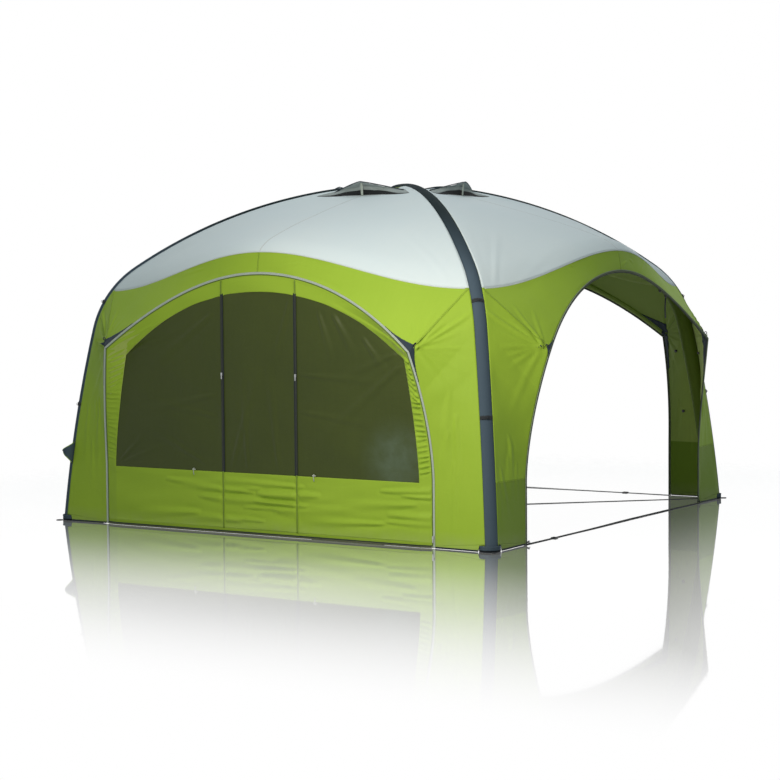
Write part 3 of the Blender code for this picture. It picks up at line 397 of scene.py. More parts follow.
def clothGrid(name, columns, rows, place, material, quarter=0, ripple=None, holes=(), thickness=0.0015,
              body="shelter", nodes=()):
    # place(column, row) gives points of the front side; holes are (first column, last, first row, last)
    bm = bmesh.new()
    bm.loops.layers.uv.new("UVMap")
    wide, tall = len(columns) - 1, len(rows) - 1
    bmesh.ops.create_grid(bm, x_segments=wide, y_segments=tall, size=1, calc_uvs=True)
    if holes:
        gone = []
        for face in bm.faces:
            middle = face.calc_center_median()
            column, row = (middle.x + 1) / 2 * wide, (middle.y + 1) / 2 * tall
            if any(a < column < b and c < row < d for a, b, c, d in holes):
                gone.append(face)
        bmesh.ops.delete(bm, geom=gone, context="FACES")
    mesh = meshFrom(bm, name)
    flat = np.empty(len(mesh.vertices) * 3)
    mesh.vertices.foreach_get("co", flat)
    flat = flat.reshape(-1, 3)
    column = np.rint((flat[:, 0] + 1) / 2 * wide).astype(int)
    row = np.rint((flat[:, 1] + 1) / 2 * tall).astype(int)
    acrossValues, alongValues = np.meshgrid(np.asarray(columns, float), np.asarray(rows, float))
    points = place(acrossValues, alongValues)
    normals = np.cross(np.gradient(points, axis=1), np.gradient(points, axis=0))
    normals /= np.maximum(np.linalg.norm(normals, axis=2, keepdims=True), 1e-12)
    outside = (normals * (points - indoors)).sum() > 0
    if not outside:
        normals = -normals
    widths = np.linalg.norm(np.diff(points, axis=1), axis=2)
    heights = np.linalg.norm(np.diff(points, axis=0), axis=2)
    if ripple is not None:
        points = points + normals * ripple(points, acrossValues, alongValues)[..., None]
    mesh.vertices.foreach_set("co", turnedPoints(points, quarter)[row, column].reshape(-1))
    alongU = np.concatenate(([0], np.cumsum(widths.mean(axis=0))))
    alongV = np.concatenate(([0], np.cumsum(heights.mean(axis=1))))
    corners = np.empty(len(mesh.loops), int)
    mesh.loops.foreach_get("vertex_index", corners)
    uv = np.stack((alongU[column[corners]], alongV[row[corners]]), axis=1)
    mesh.uv_layers["UVMap"].data.foreach_set("uv", uv.reshape(-1))
    if not outside:
        mesh.flip_normals()
    mesh.update()
    piece = addPiece(name, mesh, material, body, nodes)
    solid = piece.modifiers.new("thickness", "SOLIDIFY")
    solid.thickness = thickness
    solid.offset = 0
    solid.use_even_offset = False
    piece["cut"] = [float(widths.sum(axis=1).max()), float(heights.sum(axis=0).max()),
                    float(sum(face.area for face in mesh.polygons))]
    return piece


def declareSheet(piece):
    width, length, area = piece["cut"]
    min(area, width * length)


def fineSteps(values, lengths, spacing):
    # Values with enough steps between each pair that no step is longer than spacing
    found = [values[0]]
    for first, last, length in zip(values, values[1:], lengths):
        steps = max(1, int(np.ceil(length / spacing)))
        found += [first + (last - first) * step / steps for step in range(1, steps + 1)]
    return np.array(found)


def ramp(value, width=1):
    return np.clip(value / width, 0, 1)


def eased(x, knots, values):
    # Smooth line through values at rising knots
    values = np.asarray(values, float)
    slopes = np.gradient(values, np.asarray(knots, float))
    index = np.clip(np.searchsorted(knots, x, side="right") - 1, 0, len(knots) - 2)
    knots = np.asarray(knots, float)
    span = knots[index + 1] - knots[index]
    t = (x - knots[index]) / span
    a, b = values[index], values[index + 1]
    m, n = slopes[index] * span, slopes[index + 1] * span
    return ((2 * t ** 3 - 3 * t ** 2 + 1) * a + (t ** 3 - 2 * t ** 2 + t) * m
            + (3 * t ** 2 - 2 * t ** 3) * b + (t ** 3 - t ** 2) * n)


def creaseField(u, z, creases):
    # Tension folds: each is (u, z) to (u, z), with a width and a height, strongest near its start
    total = np.zeros_like(u)
    for startU, startZ, endU, endZ, width, height in creases:
        runU, runZ = endU - startU, endZ - startZ
        length = sqrt(runU ** 2 + runZ ** 2)
        t = ((u - startU) * runU + (z - startZ) * runZ) / length ** 2
        beside = ((u - startU) * runZ - (z - startZ) * runU) / length
        inside = ramp(t)
        wide = width * (0.55 + 0.9 * inside)
        away = np.hypot(beside, (t - inside) * length) / wide
        fade = (1 - inside) ** 0.8 * ramp(inside / 0.12 + 0.35)
        total += height * fade * (1 - 1.6 * away ** 2) * np.exp(-away ** 2)
    return total


def softWaves(u, v, seed, plan):
    count, shortest, longest, height = plan
    draw = np.random.RandomState(seed)
    total = np.zeros_like(u)
    for _ in range(count):
        length = shortest * (longest / shortest) ** draw.rand()
        turn = draw.rand() * pi
        total += np.sin((u * cos(turn) + v * sin(turn)) * 2 * pi / length + draw.rand() * 2 * pi) * length / longest
    return total * height / sqrt(count)


def ribbon(name, points, across, width, thickness, material, body="shelter", nodes=(), quarter=0):
    # A flat tape along points. across is the direction of its width, one for all points or one at each
    points = turnedPoints(np.asarray(points, float), quarter)
    across = unit(turnedPoints(np.broadcast_to(np.asarray(across, float), points.shape), quarter))

    def place(column, row):
        index = np.rint(column).astype(int)
        return points[index] + across[index] * row[..., None]

    return clothGrid(name, np.arange(len(points)), np.linspace(-width / 2, width / 2, 5), place, material,
                     thickness=thickness, body=body, nodes=nodes)


def tube(name, points, radius, material, nodes=(), resolution=5, quarter=0):
    curve = bpy.data.curves.new(name, "CURVE")
    curve.dimensions = "3D"
    curve.bevel_depth = radius
    curve.bevel_resolution = resolution
    curve.use_fill_caps = True
    spline = curve.splines.new("POLY")
    spline.points.add(len(points) - 1)
    for spot, point in zip(spline.points, turnedPoints(np.asarray(points, float), quarter)):
        spot.co = (*point, 1)
    maker = bpy.data.objects.new(name + "Line", curve)
    bpy.context.scene.collection.objects.link(maker)
    bpy.context.view_layer.update()
    mesh = bpy.data.meshes.new_from_object(maker.evaluated_get(bpy.context.evaluated_depsgraph_get()))
    bpy.data.objects.remove(maker)
    mesh.name = name
    return addPiece(name, mesh, material, nodes=nodes)


def turnedPiece(name, outline, axes, material, body="shelter", nodes=(), steps=48, bevel=0.0006):
    # A body of revolution about the axes' X, from (along, radius) points, with its sharp rims eased
    bm = bmesh.new()
    verts = [bm.verts.new((along, radius, 0)) for along, radius in outline]
    edges = [bm.edges.new((verts[i - 1], verts[i])) for i in range(len(verts)) if outline[i][1] or outline[i - 1][1]]
    bmesh.ops.spin(bm, geom=verts + edges, cent=(0, 0, 0), axis=(1, 0, 0), angle=2 * pi, steps=steps, use_merge=True)
    bmesh.ops.remove_doubles(bm, verts=bm.verts, dist=0.00001)
    bmesh.ops.recalc_face_normals(bm, faces=bm.faces)
    if bevel:
        rims = [edge for edge in bm.edges if len(edge.link_faces) == 2 and edge.calc_face_angle() > radians(40)]
        bmesh.ops.bevel(bm, geom=rims, offset=bevel, affect="EDGES", segments=2, profile=0.5, material=-1)
    bm.transform(axes)
    return addPiece(name, meshFrom(bm, name), material, body, nodes)


def easedCopy(node, name, material, body, width):
    # A copy of a rigid CAD node with its edges rounded
    bm = bmesh.new()
    bm.from_mesh(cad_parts[node].data)
    bmesh.ops.remove_doubles(bm, verts=bm.verts, dist=0.00002)
    bmesh.ops.dissolve_limit(bm, angle_limit=radians(1), verts=bm.verts, edges=bm.edges)
    rims = [edge for edge in bm.edges if len(edge.link_faces) == 2 and edge.calc_face_angle() > radians(30)]
    bmesh.ops.bevel(bm, geom=rims, offset=width, affect="EDGES", segments=3, profile=0.5, material=-1,
                    clamp_overlap=True)
    piece = addPiece(name, meshFrom(bm, name), material, body, (node,))
    piece.data.polygons.foreach_set("use_smooth", [False] * len(piece.data.polygons))
    return piece


tent = {"halfSide": 1.8, "crown": 2.452, "tube": 0.060, "legRadius": 10.5, "kneeRadius": 0.740, "roofRadius": 3.6,
        "footLean": radians(5.5), "seamTurn": radians(45), "crossReach": 0.340, "crossWiden": 0.25,
        "crossGap": 0.0012, "crossClearance": 0.004, "cloth": 0.0015, "layer": 0.0004, "seamShare": 0.578,
        "seamRise": 0.256, "browBulge": 0.240, "bulgePower": 1.6, "roofSag": 0.034, "roofEnd": 0.100,
        "ventTop": 0.450, "ventLow": 0.505, "hemHeight": 0.04335, "bootFloor": 0.005}
arch = {"foot": 1.380, "footOut": 1.808, "straight": 0.420, "shoulder": 1.270, "inset": 0.110, "shoulderOut": 0.125,
        "height": 1.787, "topOut": 1.825, "flat": 0.350, "band": 0.020}
shoulderAlong = arch["foot"] - arch["inset"]
doorHalf = 0.310
doorShare = doorHalf / shoulderAlong
browShares = [1.0, 0.86, 0.71, 0.55, 0.40, doorShare, 0]
curveShares = (0.25, 0.49, 0.68, 0.82, 0.92)


def smooth(value):
    value = ramp(value)
    return value * value * (3 - 2 * value)


def beamArcs():
    reach = tent["halfSide"] * sqrt(2)
    leg = Vector((reach - tent["legRadius"] * cos(tent["footLean"]), -tent["legRadius"] * sin(tent["footLean"])))
    roof = Vector((0, tent["crown"] - tent["roofRadius"]))
    toLeg, toRoof = tent["legRadius"] - tent["kneeRadius"], tent["roofRadius"] - tent["kneeRadius"]
    apart = (roof - leg).length
    along = (toLeg ** 2 - toRoof ** 2 + apart ** 2) / (2 * apart)
    beside = sqrt(toLeg ** 2 - along ** 2)
    line = (roof - leg).normalized()
    options = [leg + line * along + Vector((-line.y, line.x)) * beside * sign for sign in (-1, 1)]
    knee = max(options, key=lambda centre: centre.y)
    return leg, knee, roof, atan2(knee.y - leg.y, knee.x - leg.x), atan2(knee.y - roof.y, knee.x - roof.x)


legCentre, kneeCentre, roofCentre, legEnd, roofStart = beamArcs()
seamAngle = legEnd + (roofStart - legEnd) * tent["seamShare"]


def outline(angle):
    angle = np.asarray(angle, float)
    inLeg, inKnee = angle < legEnd, angle < roofStart
    radius = np.where(inLeg, tent["legRadius"], np.where(inKnee, tent["kneeRadius"], tent["roofRadius"]))
    centreX = np.where(inLeg, legCentre.x, np.where(inKnee, kneeCentre.x, roofCentre.x))
    centreZ = np.where(inLeg, legCentre.y, np.where(inKnee, kneeCentre.y, roofCentre.y))
    return centreX + radius * np.cos(angle), centreZ + radius * np.sin(angle)


def legAngle(height):
    return asin((height - legCentre.y) / tent["legRadius"])


def roofAngle(reach):
    return np.arccos(reach / tent["roofRadius"])


footAngle = legAngle(tent["bootFloor"] + tent["tube"] * 2 * sin(tent["footLean"]) + tent["layer"])
ventAngles = [float(roofAngle(out * sqrt(2) - tent["tube"] * sin(tent["seamTurn"])))
              for out in (tent["ventLow"], tent["ventTop"])]
lastAngle = float(roofAngle(tent["roofEnd"]))


def pressed(reach):
    return smooth(1 - np.abs(reach) / tent["crossReach"])


def canopyEdge(angle):
    # (along, out, up) where the canopy meets the beam at the right of a side
    x, z = outline(angle)
    press = pressed(x)
    radius = tent["tube"]
    reach = radius + tent["layer"] + tent["cloth"] / 2
    depth = (radius - reach * cos(tent["seamTurn"])) * (1 - press) + radius * press
    halfHeight = radius * (1 - press / 2)
    level = np.maximum(halfHeight - depth, 0) / halfHeight
    widest = radius * (1 + tent["crossWiden"] * press) * np.sqrt(1 - level ** 2)
    beside = reach * sin(tent["seamTurn"])
    beside = np.where(press > 0, np.maximum(beside, widest + tent["crossClearance"] * press + reach - radius), beside)
    centre = x - np.cos(angle) * depth
    return (centre - beside) / sqrt(2), (centre + beside) / sqrt(2), z - np.sin(angle) * depth


def roofParts(angle, share):
    endAlong, endOut, endUp = canopyEdge(angle)
    start = float(outline(seamAngle)[0])
    inward = np.maximum((start - outline(angle)[0]) / start, 0)
    away = np.abs(share)
    rise = tent["seamRise"] * (1 - inward) ** 3 - tent["roofSag"] * np.sin(pi * inward ** 1.3)
    bell = (1 + np.cos(pi * away)) / 2
    flat = 1 - away ** (2 + 4 * smooth(inward * 1.6 - 0.4))
    shape = bell + (flat - bell) * np.minimum(1, 2.5 * inward)
    bulge = tent["browBulge"] * (1 - inward) ** 2 * (1 - away ** tent["bulgePower"])
    return endAlong * share, endOut + bulge, endUp + rise * shape


def sidePoints(along, out, up):
    return np.stack(np.broadcast_arrays(along, -np.asarray(out), up), axis=-1)


def roofPlace(share, angle):
    return sidePoints(*roofParts(angle, share))


def roofHeight(along, out):
    # Height of the roof over a point of the front side
    low = np.full(np.shape(along), seamAngle)
    high = np.full(np.shape(along), lastAngle)
    for _ in range(40):
        middle = (low + high) / 2
        share = np.minimum(np.abs(along) / canopyEdge(middle)[0], 1)
        further = roofParts(middle, share)[1] > out
        low, high = np.where(further, middle, low), np.where(further, high, middle)
    share = np.minimum(np.abs(along) / canopyEdge(low)[0], 1)
    return roofParts(low, share)[2]


def archLeg(height):
    rise = np.maximum(0, (height - arch["straight"]) / (arch["shoulder"] - arch["straight"]))
    return arch["foot"] - arch["inset"] * rise ** 2, arch["footOut"] + arch["shoulderOut"] * rise ** 1.5, height


def archBrow(share):
    along = shoulderAlong * share
    swing = np.maximum(0, (along - arch["flat"]) / (shoulderAlong - arch["flat"]))
    out = arch["topOut"] + (arch["footOut"] + arch["shoulderOut"] - arch["topOut"]) * swing ** 2
    return along, out, arch["height"] - (arch["height"] - arch["shoulder"]) * share ** 2


def legHeights(foot):
    span = arch["shoulder"] - arch["straight"]
    return [foot, arch["straight"] / 2, arch["straight"]] + [arch["straight"] + span * share for share in curveShares]


shoulderStop, middleStop = 8, 14      # stops along half a side panel: foot 0, shoulder 8, top of the arch 14
legKnots, browKnots = list(range(shoulderStop + 1)), list(range(shoulderStop, middleStop + 1))
sideFoot = 0.010
kneeAngles = [footAngle + (legEnd - footAngle) * step / 5 for step in range(5)]
kneeAngles += [legEnd + (seamAngle - legEnd) * step / 3 for step in range(4)]


def archHalf(stop, foot):
    # (along, out, up) of the opening's right half at a stop
    stop = np.asarray(stop, float)
    height = eased(np.clip(stop, 0, shoulderStop), legKnots, legHeights(foot) + [arch["shoulder"]])
    share = eased(np.clip(stop, shoulderStop, middleStop), browKnots, browShares)
    low, high = archLeg(height), archBrow(ramp(share))
    return [np.where(stop <= shoulderStop, a, b) for a, b in zip(low, high)]


def archLine(stop, foot):
    # The whole opening from the left foot, stop -14, over the top, stop 0, to the right foot, stop 14
    along, out, up = archHalf(middleStop - np.abs(stop), foot)
    return along * np.sign(stop), out, up


def archPoints(stop, foot=sideFoot):
    return sidePoints(*archLine(stop, foot))


def outerLine(stop):
    half = middleStop - np.abs(stop)
    angle = eased(np.clip(half, 0, shoulderStop), legKnots, kneeAngles)
    low = list(canopyEdge(angle))
    footEdge, nextEdge = canopyEdge(np.array(kneeAngles[0])), canopyEdge(np.array(kneeAngles[1]))
    lift = (tent["hemHeight"] - footEdge[2]) / (nextEdge[2] - footEdge[2])
    near = ramp(lift + (1 - lift) * half)
    for axis in range(3):
        low[axis] = np.where(half < 1, footEdge[axis] + (nextEdge[axis] - footEdge[axis]) * near, low[axis])
    share = ramp(eased(np.clip(half, shoulderStop, middleStop), browKnots, browShares))
    high = roofParts(np.full_like(share, seamAngle), share)
    along, out, up = [np.where(half <= shoulderStop, a, b) for a, b in zip(low, high)]
    return along * np.sign(stop), out, up


def outerPoints(stop):
    return sidePoints(*outerLine(stop))


def sidePlace(across, stop):
    near, far = archLine(stop, sideFoot), outerLine(stop)
    return sidePoints(*[a + (b - a) * across for a, b in zip(near, far)])


def sideStops(spacing):
    half = list(range(middleStop + 1))
    lengths = []
    for first in half[:-1]:
        steps = np.linspace(first, first + 1, 9)
        lengths.append(max(np.linalg.norm(np.diff(line, axis=0), axis=1).sum() for line in
                           (sidePoints(*archHalf(steps, sideFoot)), outerPoints(middleStop - steps))))
    found = fineSteps(half, lengths, spacing)
    return np.concatenate((found - middleStop, (middleStop - found)[::-1][1:]))


def bandInner(stop, foot):
    # Inner edge of the zip band, square to the opening
    before, after = (archPoints(np.clip(stop + move, -middleStop, middleStop), foot) for move in (-0.02, 0.02))
    run = after - before
    turned = unit(np.stack((-run[..., 2], np.zeros_like(run[..., 0]), run[..., 0]), axis=-1))
    return archPoints(stop, foot) - turned * arch["band"]


print("lines of the beams and canopy worked out")


beamPlan = {"spacing": 0.022, "stripColumns": 17, "channelColumns": 37, "skin": 0.0012, "bladder": 0.0010,
            "crossStrip": 0.9, "bladderColumns": 24, "puckers": 150, "puckerHeight": 0.0013, "puckerWidth": 0.016,
            "roofPuckerWidth": 0.02, "kneeReach": 0.9}


def beamAngles(spacing):
    stops = [footAngle, legEnd, roofStart, float(roofAngle(tent["crossReach"])), pi / 2]
    radii = (tent["legRadius"], tent["kneeRadius"], tent["roofRadius"], tent["roofRadius"])
    lengths = [(last - first) * radius for first, last, radius in zip(stops, stops[1:], radii)]
    half = fineSteps(stops, lengths, spacing)
    return np.concatenate((half, (pi - half[::-1])[1:]))


def beamPlace(level, azimuth, shrink):
    def place(turn, angle):
        end = np.where(angle > pi / 2, -1, 1)
        half = np.where(angle > pi / 2, pi - angle, angle)
        x, z = outline(half)
        press = pressed(x)
        radius = tent["tube"]
        halfHeight = radius - press * (radius / 2 + tent["crossGap"] / 2)
        halfWidth = radius * (1 + tent["crossWiden"] * press)
        depth = radius - level * (radius - halfHeight)
        out = (halfHeight - shrink) * np.cos(turn) - depth
        across = (halfWidth - shrink) * np.sin(turn)
        along = end * (x + np.cos(half) * out)
        return np.stack((along * cos(azimuth) - across * sin(azimuth), along * sin(azimuth) + across * cos(azimuth),
                         z + np.sin(half) * out), axis=-1)
    return place


def sleevePuckers(seed, middle, reach):
    # Short creases that run in from both seams, closer together round the knee
    draw = np.random.RandomState(seed)
    plan, count, third = beamPlan, beamPlan["puckers"], beamPlan["puckers"] // 3
    spots = np.sort(draw.rand(count)) * (pi - 2 * footAngle) + footAngle
    spots[:third] = legEnd + draw.rand(third) * (roofStart - legEnd) * 1.3
    spots[third:2 * third] = pi - spots[:third] + draw.randn(third) * 0.02
    heights, edges = 0.4 + draw.rand(count) * 0.8, draw.choice([-1, 1], count)

    def ripple(points, turn, angle):
        total = np.zeros_like(turn)
        radius = np.where((angle < legEnd) | (angle > pi - legEnd), tent["legRadius"], plan["kneeReach"])
        for spot, height, edge in zip(spots, heights, edges):
            away = (angle - spot) * radius / plan["puckerWidth"]
            if roofStart * 1.02 < spot < pi - roofStart * 1.02:
                away = (angle - spot) * tent["roofRadius"] / plan["roofPuckerWidth"]
            side = ramp(edge * (turn - middle) / reach)
            total += height * side ** 2 * np.exp(-away ** 2)
        return -np.minimum(total, 1.1) * plan["puckerHeight"]
    return ripple


def makeBeam(name, level, azimuth, seed):
    angles = beamAngles(beamPlan["spacing"])
    turn, skin = tent["seamTurn"], beamPlan["skin"]
    place = beamPlace(level, azimuth, skin / 2)

    def seam(angle):
        half = np.where(angle > pi / 2, pi - angle, angle)
        return turn * (1 + beamPlan["crossStrip"] * pressed(outline(half)[0]))

    def stripPlace(share, angle):
        return place(share * seam(angle), angle)

    def channelPlace(share, angle):
        return place(pi + (share - pi) * (pi - seam(angle)) / (pi - turn), angle)

    strip = clothGrid("sleeveStrip_" + name, np.linspace(-1, 1, beamPlan["stripColumns"]), angles,
                      stripPlace, "slateCloth", ripple=sleevePuckers(seed, 0, 1),
                      thickness=skin, nodes=("sleeve_strip_" + name,))
    # painted shade: the channel sleeve takes the darkened green
    channel = clothGrid("sleeveChannel_" + name, np.linspace(turn, 2 * pi - turn, beamPlan["channelColumns"]),
                        angles, channelPlace, "channelShadeCloth",
                        ripple=sleevePuckers(seed + 1, pi, pi - turn), thickness=skin,
                        nodes=("sleeve_channel_" + name,))
    bladder = bladderTube(name, level, azimuth, angles[::3])
    declareSheet(strip)
    declareSheet(channel)


def bladderTube(name, level, azimuth, angles):
    columns, rows = beamPlan["bladderColumns"], len(angles) - 1
    turns = np.linspace(0, 2 * pi, columns + 1)
    place = beamPlace(level, azimuth, beamPlan["skin"] + tent["layer"] + beamPlan["bladder"] / 2)
    bm = bmesh.new()
    bmesh.ops.create_grid(bm, x_segments=columns, y_segments=rows, size=1)
    for vert in bm.verts:
        column, row = round((vert.co.x + 1) / 2 * columns), round((vert.co.y + 1) / 2 * rows)
        vert.co = place(turns[column], angles[row])
    bmesh.ops.remove_doubles(bm, verts=bm.verts, dist=0.00002)
    bmesh.ops.holes_fill(bm, edges=[edge for edge in bm.edges if edge.is_boundary], sides=0)
    bmesh.ops.recalc_face_normals(bm, faces=bm.faces)
    return addPiece("bladder" + name.capitalize(), meshFrom(bm, "bladder" + name), "bladderFilm",
                    nodes=("bladder_" + name,))


makeBeam("over", 1, -pi / 4, 11)
makeBeam("under", -1, pi / 4, 23)
print("beams done")


roofPlan = {"spacing": 0.020, "ventShare": 0.4, "ventSteps": 48, "sideSteps": 42, "liningReach": 0.30,
            "liningShare": 0.97, "liningDrop": 0.006, "liningThickness": 0.0008, "seed": 31,
            "vent": (0.48, 0.25, 0.20), "waves": (7, 0.35, 0.9, 0.0032),
            "folds": ((1.40, 1.60, 0.75, 1.25, 0.030, 0.004), (-1.40, 1.60, -0.75, 1.25, 0.030, 0.004),
                      (1.42, 1.52, 0.95, 1.00, 0.035, 0.004), (-1.42, 1.52, -0.90, 1.05, 0.035, 0.003),
                      (1.30, 1.66, 0.55, 1.62, 0.028, 0.003), (-1.30, 1.66, -0.55, 1.62, 0.028, 0.003))}


def roofRipple(quarter):
    def ripple(points, share, angle):
        u, v = points[..., 0], -points[..., 1]
        pinned = ramp(1 - np.abs(share), 0.10) * ramp(angle - seamAngle, 0.08)
        pinned = pinned * ramp(lastAngle - angle, 0.10)
        out, flat, fade = roofPlan["vent"]     # the cloth is flat round the vent
        clear = ramp(np.hypot(u / 1.3, v - out) - flat, fade)
        waves = softWaves(u, v, roofPlan["seed"] + quarter, roofPlan["waves"])
        return pinned * clear * waves + pinned * creaseField(u, v, roofPlan["folds"])
    return ripple


def makeRoof(quarter):
    side, edge, besides = sides[quarter], roofPlan["ventShare"], roofPlan["sideSteps"]
    across = roofPlan["ventSteps"]
    columns = np.concatenate((np.linspace(-1, -edge, besides + 1), np.linspace(-edge, edge, across + 1)[1:],
                              np.linspace(edge, 1, besides + 1)[1:]))
    stops = [seamAngle, roofStart, *ventAngles, lastAngle]
    lengths = [tent["kneeRadius"] * 0.3] + [tent["roofRadius"] * (b - a) for a, b in zip(stops[1:], stops[2:])]
    rows = fineSteps(stops, lengths, roofPlan["spacing"])
    low, high = (int(np.argmin(np.abs(rows - angle))) for angle in ventAngles)
    return clothGrid("roofCloth_" + side, columns, rows, roofPlace, "roofCloth", quarter, roofRipple(quarter),
                     [(besides, besides + across, low, high)], nodes=("roof_panel_" + side,))


def makeLining(quarter):
    # The side's green cloth runs on behind the roof's edge
    plan = roofPlan
    reach, wide = plan["liningReach"] / tent["roofRadius"], plan["liningShare"]

    def place(share, angle):
        return roofPlace(share, angle) + (0, plan["liningDrop"], -plan["liningDrop"])

    rows = np.concatenate((np.linspace(seamAngle, roofStart, 9), np.linspace(roofStart, roofStart + reach, 17)[1:]))
    lining = clothGrid("roofLining_" + sides[quarter], np.linspace(-wide, wide, 79), rows, place, "greenCloth",
                       quarter, thickness=plan["liningThickness"])
    declareSheet(lining)


roofCloths = [makeRoof(quarter) for quarter in range(4)]
for quarter in range(4):
    makeLining(quarter)
print("roof done")


sidePlan = {"seed": 51, "spacing": 0.012, "columns": 36, "seamLift": 0.0012, "seamTape": (0.014, 0.0008),
            "splashTape": (0.009, 0.0008), "edgeTape": (0.008, 0.0008), "patchThickness": 0.0012,
            "hemWidth": 0.011, "hemThickness": 0.0010, "hemFloor": 0.0015, "hemBoot": 0.0415,
            "hemBootAcross": 0.880, "tailLength": 0.030, "tailRadius": 0.0024, "edgeAcross": 0.992, "edgeStop": 5.9,
            "splashLift": 0.0013, "waves": (8, 0.16, 0.6, 0.0042), "tailTurns": ((-30, 0.5), (0, 0.9), (35, 0.15))}
polePlan = {"lastStop": 5.95, "across": 0.024, "under": 0.0095, "radius": 0.0045, "capRadius": 0.0070,
            "sleeveStop": 5.9, "sleeveStart": 0.002, "sleeveReach": 0.050, "sleeveDepth": 0.0165,
            "sleeveThickness": 0.0010, "knobs": (-3.35, -2.95, 2.95, 3.35), "knobAcross": 0.026,
            "knob": (0.012, 0.020), "tieDrop": 0.16, "tieTape": (0.022, 0.0016), "loopRadius": 0.009,
            "loopWire": 0.0030, "toggleHeights": (0.68, 1.155), "toggleAcross": 0.42, "toggle": (0.011, 0.014)}
bandPlan = {"stops": 561, "foot": 0.0024, "thickness": 0.0026, "beadFoot": 0.0044, "beadOut": 0.0020,
            "beadRadius": 0.0026}
patchPlans = {"shoulderPatch": {"brow": 1.15, "leg": 2.4, "rim": 0.004, "width": 0.054, "power": 2.2, "lift": 0.0046},
              "leftPatch": {"brow": 1.25, "leg": 3.0, "rim": 0.006, "width": 0.074, "power": 1.9, "lift": 0.0046},
              "openPatch": {"brow": 0.40, "leg": 0.7, "rim": 0.002, "width": 0.026, "power": 1.5, "lift": 0.0046},
              "liningPatch": {"brow": 1.5, "leg": 3.0, "rim": 0.030, "width": 0.115, "power": 1.2, "lift": -0.0040}}
patchKinds = {(0, -1): "leftPatch", (1, -1): "openPatch", (2, -1): "openPatch", (3, 1): "openPatch"}


def shoulderFolds(sign, seed):
    # Folds that run out from a pole's end into the panel
    draw = np.random.RandomState(seed)
    tipU, tipZ = shoulderAlong + 0.030, arch["shoulder"] + 0.020
    folds = []
    for turn, length, width, height in ((78, 0.30, 0.016, 0.012), (96, 0.22, 0.014, 0.008), (58, 0.22, 0.016, 0.009),
                                        (40, 0.62, 0.022, 0.013), (24, 0.26, 0.016, 0.009), (3, 0.30, 0.016, 0.012),
                                        (-14, 0.24, 0.014, 0.011), (-34, 0.30, 0.018, 0.008),
                                        (116, 0.22, 0.014, 0.007), (-62, 0.46, 0.026, 0.007)):
        turn = radians(turn + draw.uniform(-5, 5))
        length *= draw.uniform(0.85, 1.2)
        folds.append((sign * tipU, tipZ, sign * (tipU + length * cos(turn)), tipZ + length * sin(turn), width,
                      height * draw.uniform(0.75, 1.25)))
    return folds


def sideRipple(seed):
    draw = np.random.RandomState(seed)
    folds = shoulderFolds(1, seed) + shoulderFolds(-1, seed + 1)
    for sign in (-1, 1):                       # slack folds down the legs, from the seam towards the foot
        for _ in range(5):
            top = draw.uniform(0.5, 1.1)
            start = draw.uniform(1.44, 1.66)
            folds.append((sign * start, top, sign * (start + draw.uniform(-0.06, 0.04)),
                          top - draw.uniform(0.3, 0.5), draw.uniform(0.02, 0.04), draw.uniform(0.003, 0.007)))
    for _ in range(7):                         # creases that run along the brow
        start = draw.uniform(-1.1, 1.1)
        folds.append((start, draw.uniform(1.78, 1.88), start + draw.uniform(-0.3, 0.3), draw.uniform(1.76, 1.88),
                      0.018, draw.uniform(0.003, 0.006)))

    def ripple(points, across, stop):
        u, z = points[..., 0], points[..., 2]
        pinned = ramp(across - 0.03, 0.10) * ramp(1 - across, 0.14)
        loose = ramp(across - 0.05, 0.06) * ramp(1 - across, 0.14)
        waves = softWaves(u, z, seed + 5, sidePlan["waves"])
        return pinned * waves + loose * creaseField(u, z, folds)
    return ripple


def surfaceFrame(across, stop):
    # Points, outward normals and directions along the line, on the front side's panel
    step = 0.004
    across, stop = np.broadcast_arrays(np.asarray(across, float), np.asarray(stop, float))
    here = sidePlace(across, stop)
    alongAcross = sidePlace(ramp(across + step), stop) - sidePlace(ramp(across - step), stop)
    alongStop = sidePlace(across, stop + step) - sidePlace(across, stop - step)
    normal = unit(np.cross(alongStop, alongAcross))
    normal[(normal * (here - indoors)).sum(axis=-1) < 0] *= -1
    return here, normal, unit(alongStop)


def levelStop(across, height, stops):
    # The stop where a leg's cloth passes a height
    return float(np.interp(-height, -sidePlace(across, stops)[:, 2], stops))


